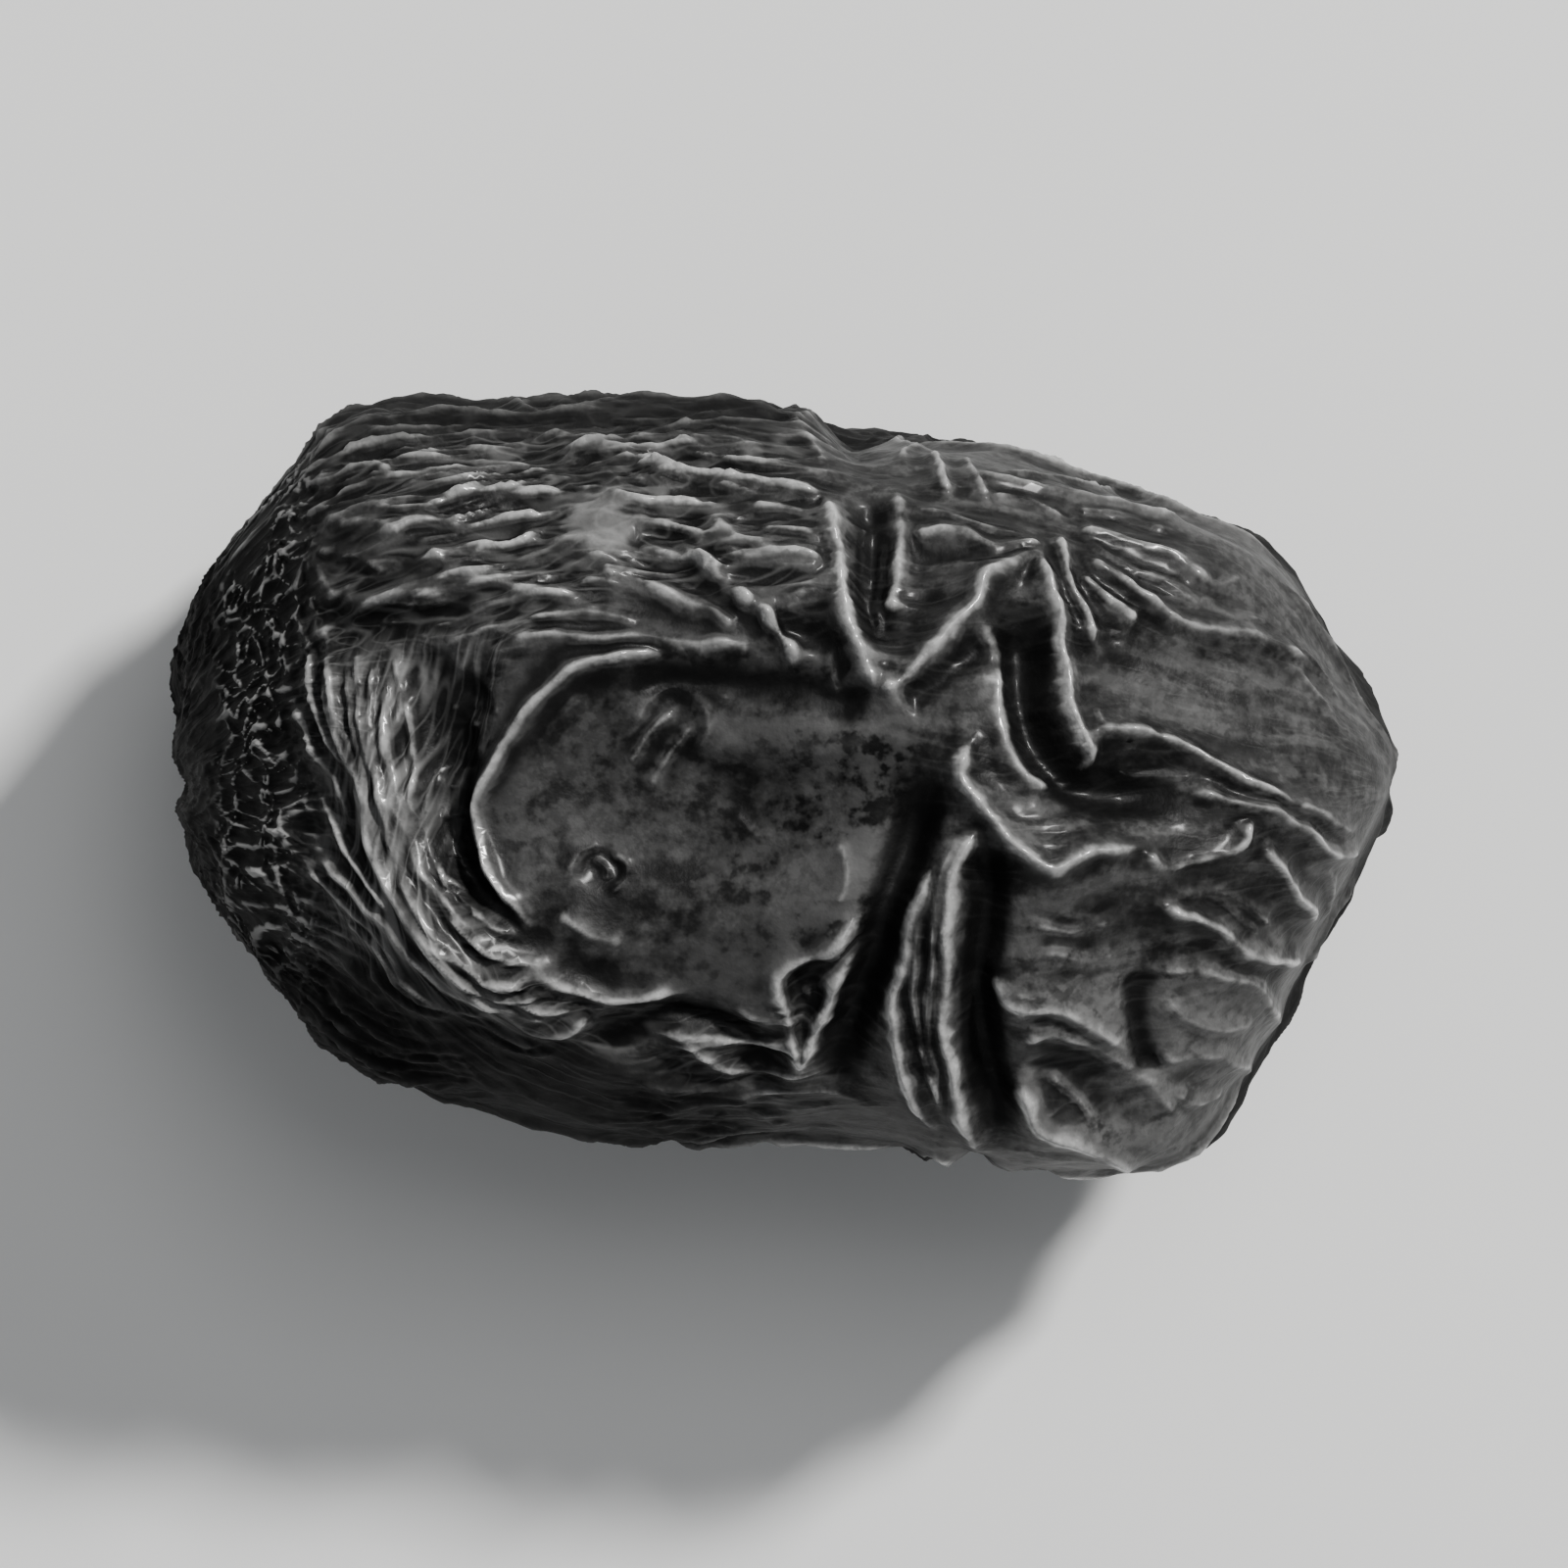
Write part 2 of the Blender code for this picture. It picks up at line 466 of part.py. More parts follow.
def rounded_routes(points, table):
    """The size of round-bottomed furrows or round-backed swells, greatest where they run together."""
    total = np.zeros(len(points))
    for width, size, distance, along in drawn(points, table, 4.0):
        taper = smoothstep(-0.02, 0.18, along) * smoothstep(-0.02, 0.18, 1.0 - along)
        total += (size * taper * np.exp(-((distance / width) ** 2))) ** 2
    return np.sqrt(total)


def hollows(points):
    """Broad dents and swellings of the upper side, with soft edges."""
    total = np.zeros(len(points))
    upper = smoothstep(-4.0, 0.0, points[:, 2])
    for middle, halves, turn, height in HOLLOWS:
        turn = np.radians(turn)
        x, y = (points[:, :2] - middle).T
        across = (x * np.cos(turn) + y * np.sin(turn)) / halves[0]
        up = (y * np.cos(turn) - x * np.sin(turn)) / halves[1]
        total += height * upper * np.exp(-((across**2 + up**2) ** 1.5))
    return total


def net(points):
    """A net of sharp folds: the places as near to one seed as to the next, in drifting cells."""
    warped = drift(points, 4.0, 1.3, NET_SEED) / (NET_SPACING * np.array([NET_STRETCH, 1.0, 1.0]))
    shifts = np.random.default_rng(NET_SEED).random((NET_CELLS, NET_CELLS, NET_CELLS, 3))
    corner = np.floor(warped).astype(int)
    gaps = []
    for step in np.ndindex(3, 3, 3):
        cell = corner + step - 1
        wrapped = cell % NET_CELLS
        seed = cell + shifts[wrapped[:, 0], wrapped[:, 1], wrapped[:, 2]]
        gaps.append(np.linalg.norm(warped - seed, axis=1))
    first, second = np.partition(np.stack(gaps), 1, axis=0)[:2]
    edge = (second - first) * NET_SPACING
    strength = smoothstep(-0.55, 0.35, noise(points / 4.5, NET_SEED + 7))
    rounded = np.sqrt(edge**2 + 0.2**2) - 0.2
    return NET_HEIGHT * (strength * np.exp(-rounded / NET_WIDTH) - 0.3)


def ridged(points, seed):
    """Noise folded at zero, so that it has sharp crests: two sizes, the smaller at half height."""
    coarse = 1.0 - np.minimum(np.abs(noise(points, seed)) * 2.2, 1.0)
    fine = 1.0 - np.minimum(np.abs(noise(points * 1.9, seed + 1)) * 2.2, 1.0)
    return coarse**1.5 + 0.45 * fine**1.5 * (0.3 + coarse)


def wrinkles(points):
    """Wrinkles that run from end to end and draw together there, and rings round the large hollow."""
    x, y, z = points.T
    moved = drift(points, 5.0, 0.9, WRINKLE_SEED)
    out = np.hypot(moved[:, 1], moved[:, 2])
    near_end = smoothstep(6.0, 14.0, np.abs(x))
    run = moved[:, 0] + np.sign(x) * near_end * np.maximum(WRINKLE_GIRTH - out, 0.0)
    round_it = moved[:, 1:] * (WRINKLE_GIRTH / np.maximum(out, 0.5))[:, None]
    lengthwise = np.column_stack([run / WRINKLE_LENGTH, round_it / WRINKLE_SPACING])
    from_hollow = moved[:, :2] - RING_MIDDLE
    radius = np.hypot(*from_hollow.T)
    # The arc is counted from the stem side, so that its seam lies where there are no rings
    arc = RING_TURN * np.arctan2(from_hollow[:, 1], -from_hollow[:, 0])
    rings = np.column_stack([radius / WRINKLE_SPACING, arc / WRINKLE_LENGTH, 0.0 * arc])
    upper = smoothstep(-1.0, 3.0, z)
    ring_share = upper * smoothstep(5.4, 6.2, radius) * smoothstep(10.0, 7.5, radius)
    ring_share *= smoothstep(-2.0, -6.0, x) * smoothstep(4.6, 3.0, y)
    bowl = upper * smoothstep(6.0, 4.9, np.hypot((x + 2.6) / 1.15, y + 0.4))
    length_share = (1.0 - bowl) * (1.0 - ring_share) * smoothstep(0.5, 3.5, out)
    widest = smoothstep(5.0, 3.0, z) * smoothstep(-6.0, -3.0, z)
    length_share *= 1.0 - CALM_TIP_TOP * upper * smoothstep(-3.0, 4.0, x)
    length_share *= 1.0 - CALM_TIP * smoothstep(8.0, 12.0, x)
    length_share *= 1.0 - CALM_WIDEST * widest
    patchy = 0.45 + 0.55 * smoothstep(-0.4, 0.3, noise(points / 5.0, WRINKLE_SEED + 9))
    total = length_share * ridged(lengthwise, WRINKLE_SEED + 3)
    total += 0.6 * ring_share * ridged(rings, WRINKLE_SEED + 5)
    return WRINKLE_HEIGHT * patchy * total


def scar(points):
    """The puckered stem end: a pit, and short pleats that run into it."""
    x, y, z = points.T
    radius = np.hypot(y, z - SCAR_HEIGHT)
    turn = np.arctan2(z - SCAR_HEIGHT, y)
    at_end = smoothstep(-13.0, -15.0, x)
    pit = -SCAR_DEPTH * np.exp(-((radius / SCAR_RADIUS) ** 2))
    pleats = SCAR_PLEAT * np.cos(SCAR_PLEATS * turn + 1.4 * np.sin(3.0 * turn))
    pleats *= smoothstep(0.5, 1.6, radius) * smoothstep(5.5, 2.5, radius)
    return at_end * (pit + pleats)


def relief(points):
    """How far the skin stands out of the barrel at each point."""
    x, y, z = points.T
    under = smoothstep(-2.5, -7.0, z)
    ends = smoothstep(15.9, 13.5, np.abs(x))
    total = hollows(points) + folds(points) + scar(points)
    total += rounded_routes(points, SWELLS) - rounded_routes(points, FURROWS)
    total += (0.12 + 0.88 * under) * (0.35 + 0.65 * ends) * net(points)
    total += (0.5 + 0.5 * ends) * wrinkles(points)
    below = smoothstep(-2.0, -6.0, z)
    ring = np.hypot(x / 1.25, y)
    resting = below * smoothstep(2.2 * REST_RADIUS, 0.8 * REST_RADIUS, ring)
    swell = REST_SWELL * below * np.exp(-((ring / REST_RADIUS) ** 2))
    return total * (1.0 - resting) + swell


def skin():
    """The finished skin: the barrel, pushed out by the relief and brought to the driving sizes."""
    points = barrel()
    points = points + normals_of(points, grid_faces(points)) * relief(points)[:, None]
    faces = grid_faces(points)
    low, high = points.min(0), points.max(0)
    size = np.array([LENGTH, WIDTH, HEIGHT + FLAT_DEPTH])
    points = (points - (low + high) / 2.0) * (size / (high - low))
    points[:, 2] += HEIGHT / 2.0 - FLAT_DEPTH / 2.0
    return points * MM, faces


def skin_material():
    material = bpy.data.materials.new("date_skin")
    material.use_nodes = True
    shader = material.node_tree.nodes["Principled BSDF"]
    shader.inputs["Base Color"].default_value = SKIN_COLOUR
    shader.inputs["Roughness"].default_value = SKIN_ROUGHNESS
    shader.inputs["Metallic"].default_value = 0.0
    return material


def thinned(mesh):
    """The mesh with its faces merged where the skin is smooth, and kept where it folds."""
    draft = bpy.data.objects.new("draft", mesh)
    bpy.context.scene.collection.objects.link(draft)
    fewer = draft.modifiers.new("Fewer faces", "DECIMATE")
    fewer.ratio = TRIANGLES_KEPT / len(mesh.polygons)
    graph = bpy.context.evaluated_depsgraph_get()
    result = bpy.data.meshes.new_from_object(draft.evaluated_get(graph))
    bpy.data.objects.remove(draft)
    return result


def cut_flat(mesh):
    """Cuts the skin level at the floor and closes the cut with one flat face."""
    work = bmesh.new()
    work.from_mesh(mesh)
    everything = work.verts[:] + work.edges[:] + work.faces[:]
    cut = bmesh.ops.bisect_plane(
        work, geom=everything, plane_co=(0, 0, 0), plane_no=(0, 0, 1), clear_inner=True
    )
    rim = [item for item in cut["geom_cut"] if isinstance(item, bmesh.types.BMEdge)]
    bmesh.ops.holes_fill(work, edges=rim)
    bmesh.ops.recalc_face_normals(work, faces=work.faces[:])
    work.to_mesh(mesh)
    work.free()


def build_date():
    points, faces = skin()
    dense = bpy.data.meshes.new("dense_skin")
    dense.from_pydata(points.tolist(), [], faces.tolist())
    mesh = thinned(dense)
    mesh.name = "date_fruit"
    cut_flat(mesh)
    mesh.shade_smooth()
    fruit = bpy.data.objects.new("date_fruit", mesh)
    fruit.data.materials.append(skin_material())
    bpy.context.scene.collection.objects.link(fruit)
    return fruit


for leftover in list(bpy.data.objects):
    bpy.data.objects.remove(leftover)

build_date()
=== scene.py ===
# %% [markdown]
# # The looks of one ajwa date
#
# An ajwa date is a small fruit, nearly black, that has dried until its skin no longer fits it.
# The skin has folded into sharp, waxy crests with dull valleys between them. The CAD model already
# has the fruit's body and its main folds, but on about 10,000 triangles. This script lays a much
# finer skin over the same form, gives it its waxy black finish, and lights and frames it.
#
# Every size is in millimetres, as on the real fruit, and is turned into metres only when a mesh
# is made. X runs along the fruit from the stem end to the tip, Y across it and Z up.

# %% [markdown]
# ## The frame
#
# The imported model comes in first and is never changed. Its box is kept, because the finer skin has
# to fill exactly that box, and nothing outside it.

import bpy
import numpy as np
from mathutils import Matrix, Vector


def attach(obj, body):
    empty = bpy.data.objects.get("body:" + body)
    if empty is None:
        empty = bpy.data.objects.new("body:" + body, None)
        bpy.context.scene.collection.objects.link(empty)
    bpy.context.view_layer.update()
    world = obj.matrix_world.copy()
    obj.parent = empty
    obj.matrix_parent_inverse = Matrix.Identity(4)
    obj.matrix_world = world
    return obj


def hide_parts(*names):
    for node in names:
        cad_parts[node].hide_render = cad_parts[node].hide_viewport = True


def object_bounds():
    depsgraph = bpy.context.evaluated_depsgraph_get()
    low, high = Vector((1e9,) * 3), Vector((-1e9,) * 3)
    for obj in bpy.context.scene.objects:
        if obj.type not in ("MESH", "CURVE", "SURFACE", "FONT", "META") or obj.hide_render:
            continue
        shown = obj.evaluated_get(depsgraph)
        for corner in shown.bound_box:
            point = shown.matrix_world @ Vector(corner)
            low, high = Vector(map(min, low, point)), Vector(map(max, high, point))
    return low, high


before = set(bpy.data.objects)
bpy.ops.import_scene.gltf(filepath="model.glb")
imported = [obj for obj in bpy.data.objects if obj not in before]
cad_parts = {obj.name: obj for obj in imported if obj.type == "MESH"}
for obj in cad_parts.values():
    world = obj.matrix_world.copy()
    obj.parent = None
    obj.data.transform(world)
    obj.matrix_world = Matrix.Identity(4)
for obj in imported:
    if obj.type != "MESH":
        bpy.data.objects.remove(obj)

MM = 0.001
cad_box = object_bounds()
cad_low, cad_high = (np.array(corner) / MM for corner in cad_box)
print("CAD box, mm:", cad_low.round(2), "to", cad_high.round(2))

# %% [markdown]
# ## Helpers for smooth steps and smooth randomness
#
# Almost everything below is a height added to a surface, switched on and off by soft edges and
# made uneven by noise. Both are worked out with numpy for all points at once. The noise is
# Perlin's: each corner of a grid gets a random slope, and a point blends the slopes of the eight
# corners round it.

# %% Smooth step, noise and drift
def smoothstep(low, high, x):
    """0 below low, 1 above high, and 3t² - 2t³ between them."""
    t = np.clip((x - low) / (high - low), 0.0, 1.0)
    return t * t * (3.0 - 2.0 * t)


def noise(points, seed):
    """Noise from about -1 to 1: slope times offset at 8 corners, blended by 6t⁵ - 15t⁴ + 10t³."""
    rng = np.random.default_rng(seed)
    table = rng.permutation(256)
    slopes = rng.normal(size=(256, 3))
    slopes /= np.linalg.norm(slopes, axis=1, keepdims=True)
    corner = np.floor(points).astype(int)
    inside = points - corner
    ease = inside**3 * (inside * (inside * 6.0 - 15.0) + 10.0)
    total = np.zeros(len(points))
    for step in np.ndindex(2, 2, 2):
        cell = (corner + step) % 256
        index = table[(table[(table[cell[:, 0]] + cell[:, 1]) % 256] + cell[:, 2]) % 256]
        push = np.einsum("ij,ij->i", slopes[index], inside - step)
        total += push * np.where(step, ease, 1.0 - ease).prod(axis=1)
    return total * 1.5


def drift(points, scale, amount, seed):
    """The points, each moved by up to about amount, smoothly over distances of scale."""
    moves = [noise(points / scale, seed + k) for k in range(3)]
    return points + amount * np.stack(moves, axis=1)


probe = noise(np.random.default_rng(1).random((4000, 3)) * 50.0, seed=1)
print("noise runs from", probe.min().round(2), "to", probe.max().round(2))

# %% [markdown]
# ## The body under the skin
#
# A dried date isn't an ellipsoid: flats have sunk into it all round, and they meet in blunt
# corners. It could be cut from a block with planes, but the corners would be knife edges. Here each
# flat is a direction and a distance instead. A point's *gauge* is a power sum of how far it reaches
# towards every flat, and the body is where the gauge is 1. A higher power makes tighter corners.

# %% The fruit's sizes and its flats
LENGTH, WIDTH, HEIGHT = cad_high - cad_low
FLAT_DEPTH = 0.45
FLAT_SHARPNESS = 32.0
END_BLUNTNESS = 0.75

# The way each flat faces, and its distance from the middle of the fruit
FLATS = (
    # Its outline from above, from the stem end round the near side to the tip
    ((-1.00, 0.02, 0.06), 16.6),
    ((-0.80, -0.60, -0.04), 14.0),
    ((-0.36, -0.93, -0.07), 10.4),
    ((-0.12, -1.00, -0.08), 9.1),
    ((0.06, -1.00, -0.04), 10.35),
    ((0.875, -0.485, 0.06), 14.45),
    ((0.87, 0.49, 0.10), 14.65),
    ((0.31, 0.95, 0.00), 9.9),
    ((-0.02, 1.00, -0.05), 9.9),
    ((-0.74, 0.67, 0.02), 15.3),
    # Its upper side
    ((0.00, 0.05, 1.00), 9.2),
    ((-0.40, 0.04, 0.92), 10.9),
    ((-0.80, 0.04, 0.60), 14.4),
    ((0.00, 0.55, 0.84), 9.6),
    ((-0.05, 0.84, 0.54), 10.2),
    ((-0.06, -0.55, 0.84), 9.5),
    ((-0.10, -0.86, 0.50), 9.9),
    ((0.40, 0.22, 0.89), 10.8),
    ((0.66, 0.34, 0.67), 13.3),
    ((0.26, 0.72, 0.64), 10.5),
    ((0.40, -0.45, 0.80), 11.5),
    ((0.62, -0.62, 0.48), 13.9),
    ((0.72, -0.30, 0.62), 13.7),
    ((-0.62, -0.52, 0.58), 13.3),
    ((-0.60, 0.58, 0.55), 14.7),
    # Its underside
    ((0.17, 0.04, -0.98), 8.9),
    ((-0.17, 0.02, -0.98), 8.9),
    ((0.03, 0.24, -0.97), 8.9),
    ((-0.02, -0.24, -0.97), 8.9),
    ((0.05, 0.62, -0.79), 9.1),
    ((0.02, 0.88, -0.47), 9.7),
    ((-0.05, -0.58, -0.81), 9.0),
    ((0.02, -0.88, -0.47), 9.5),
    ((0.46, 0.05, -0.88), 10.9),
    ((0.80, 0.05, -0.60), 14.4),
    ((-0.42, 0.00, -0.90), 10.9),
    ((-0.80, 0.02, -0.60), 14.3),
    ((0.72, -0.42, -0.52), 13.8),
    ((0.70, 0.46, -0.54), 13.8),
    ((-0.62, -0.56, -0.55), 13.0),
    ((-0.60, 0.60, -0.53), 14.6),
)
print(len(FLATS), "flats on a body of", (cad_high - cad_low).round(1), "mm")

# %% [markdown]
# The grid has two parameters: how far along the fruit a ring lies, and how far round it a point
# lies. The rings are spaced evenly along a blunt-ended profile, so the ends get as many as the
# sides. Round each ring the points are crowded towards the top, where the finest folds are.
# The grid is three times as fine as the finished skin, which keeps the points that matter most.

# %% The body as a grid of points
AROUND = 640
ALONG = 520
TOP_CROWDING = 0.42
END_SPARING = 0.55


def gauge(points):
    """(sum of (reach towards each flat / its distance)^p)^(1/p): 1 on the body, less inside it."""
    total = np.zeros(len(points))
    for facing, distance in FLATS:
        facing = np.array(facing) / np.linalg.norm(facing)
        reach = np.maximum(points @ facing, 0.0) / distance
        total += reach**FLAT_SHARPNESS
    return total ** (1.0 / FLAT_SHARPNESS)


def barrel():
    """Rings of x = -cos^b(s) L/2 and radius sin^b(s), at angles t + c cos t, over their gauge."""
    sweep = np.linspace(0.0, np.pi, 4000)
    far = -np.sign(np.cos(sweep)) * np.abs(np.cos(sweep)) ** END_BLUNTNESS * LENGTH / 2.0
    out = np.sin(sweep) ** END_BLUNTNESS
    stretches = np.hypot(np.diff(far), np.diff(out) * END_SPARING * WIDTH / 2.0)
    run = np.concatenate([[0.0], np.cumsum(stretches)])
    even = np.linspace(0.0, run[-1], ALONG + 1)[1:-1]
    turn = np.linspace(0.0, 2.0 * np.pi, AROUND, endpoint=False)
    turn = turn + TOP_CROWDING * np.cos(turn)
    far = np.interp(even, run, far)[:, None] * np.ones(AROUND)
    out = np.interp(even, run, out)[:, None]
    across = out * np.cos(turn) * WIDTH / 2.0
    up = out * np.sin(turn) * HEIGHT / 2.0
    poles = [[-1.0, 0.0, 0.0], [1.0, 0.0, 0.0]]
    points = np.concatenate([np.stack([far, across, up], axis=-1).reshape(-1, 3), poles])
    return points / gauge(points)[:, None]


body = barrel()
print(len(body), "points on the body")

# %% [markdown]
# Neighbouring rings are joined by triangles, with a fan of them round each end. Each four-sided
# patch is split along its shorter diagonal, so that a crest that crosses the grid isn't stepped.

# %% Triangles and outward directions
def grid_faces(points):
    """Triangles between ring k and k + 1, and one fan at each pole, all facing out."""
    rings = ALONG - 1
    index = np.arange(rings * AROUND).reshape(rings, AROUND)
    beside = np.roll(index, -1, axis=1)
    a, b = index[:-1].ravel(), beside[:-1].ravel()
    c, d = beside[1:].ravel(), index[1:].ravel()
    stem, tip = rings * AROUND, rings * AROUND + 1
    ac_length = np.linalg.norm(points[a] - points[c], axis=1)
    bd_length = np.linalg.norm(points[b] - points[d], axis=1)
    by_ac = (ac_length <= bd_length)[:, None]
    first = np.where(by_ac, np.stack([a, b, c], 1), np.stack([a, b, d], 1))
    second = np.where(by_ac, np.stack([a, c, d], 1), np.stack([b, c, d], 1))
    stem_fan = np.stack([np.full(AROUND, stem), beside[0], index[0]], 1)
    tip_fan = np.stack([np.full(AROUND, tip), index[-1], beside[-1]], 1)
    return np.concatenate([first, second, stem_fan, tip_fan])


def normals_of(points, faces):
    """The sum of the cross products of the faces round each point, brought to length 1."""
    corners = points[faces]
    across = np.cross(corners[:, 1] - corners[:, 0], corners[:, 2] - corners[:, 0])
    total = np.zeros_like(points)
    for k in range(3):
        np.add.at(total, faces[:, k], across)
    return total / np.linalg.norm(total, axis=1, keepdims=True)


body_normals = normals_of(body, grid_faces(body))
print(len(grid_faces(body)), "triangles")

# %% [markdown]
# ## Drawing on the body
#
# The folds of this date were read off it as short routes seen from the top and from the sides.
# Each route is rounded into a curve that passes through its points, a Catmull-Rom spline, and
# dropped onto the body along the line of sight. After that, a fold's height at any point
# depends only on how far that point is from the curve.

# %% Routes laid on the body
SIDES = {
    "top": (0, 1, 2, 1.0),
    "near": (0, 2, 1, -1.0),
    "far": (0, 2, 1, 1.0),
    "tip": (1, 2, 0, 1.0),
}


def laid_on(side, route):
    """The spline through the route's points, moved by halving steps until its gauge is 1."""
    seen_x, seen_y, depth, sign = SIDES[side]
    route = np.array(route, float)
    ends = np.concatenate([[2 * route[0] - route[1]], route, [2 * route[-1] - route[-2]]])
    t = np.linspace(0.0, 1.0, 6, endpoint=False)[:, None]
    spans = []
    for p0, p1, p2, p3 in zip(ends, ends[1:], ends[2:], ends[3:]):
        bend = 2 * p0 - 5 * p1 + 4 * p2 - p3
        twist = 3 * p1 - p0 - 3 * p2 + p3
        spans.append(0.5 * (2 * p1 + (p2 - p0) * t + bend * t**2 + twist * t**3))
    flat = np.concatenate([*spans, route[-1:]])
    laid = np.empty((len(flat), 3))
    laid[:, [seen_x, seen_y]] = flat
    low, high = np.zeros(len(flat)), np.full(len(flat), LENGTH)
    for _ in range(30):
        middle = (low + high) / 2.0
        laid[:, depth] = sign * middle
        outside = gauge(laid) > 1.0
        high = np.where(outside, middle, high)
        low = np.where(outside, low, middle)
    return laid


def distance_to(points, route, reach):
    """The least distance to the route's segments and how far along it; beyond reach, just reach."""
    distance = np.full(len(points), reach)
    along = np.zeros(len(points))
    near = np.flatnonzero(
        ((points > route.min(0) - reach) & (points < route.max(0) + reach)).all(axis=1)
    )
    place = points[near]
    best = np.full(len(near), reach)
    best_along = np.zeros(len(near))
    for k, (a, b) in enumerate(zip(route, route[1:])):
        span = b - a
        t = np.clip((place - a) @ span / (span @ span), 0.0, 1.0)
        gap = np.linalg.norm(place - a - t[:, None] * span, axis=1)
        closer = gap < best
        best = np.where(closer, gap, best)
        best_along = np.where(closer, (k + t) / (len(route) - 1), best_along)
    distance[near] = best
    along[near] = best_along
    return distance, along


def drawn(points, table, reach):
    """For each route of a table: its width and size, and each point's distance and place on it."""
    for side, routes in table.items():
        for width, size, route in routes:
            distance, along = distance_to(points, laid_on(side, route), reach * width)
            yield width, size, distance, along


across_top = laid_on("top", ((-10, 0), (0, 0), (10, 0)))
print("the body's top is", (across_top[:, 2].max() + HEIGHT / 2).round(1), "mm above the floor")

# %% [markdown]
# ## The main folds
#
# Where dry skin folds, it doesn't make round ridges: it creases. The crest is narrow and both
# flanks are hollow, like a tent pulled up along a line. The height e^(-distance / width) has that
# shape. Where two folds meet the higher one wins, and a fourth-power sum does that softly.
# The line is also made to wind a little, because no crease is a smooth curve.

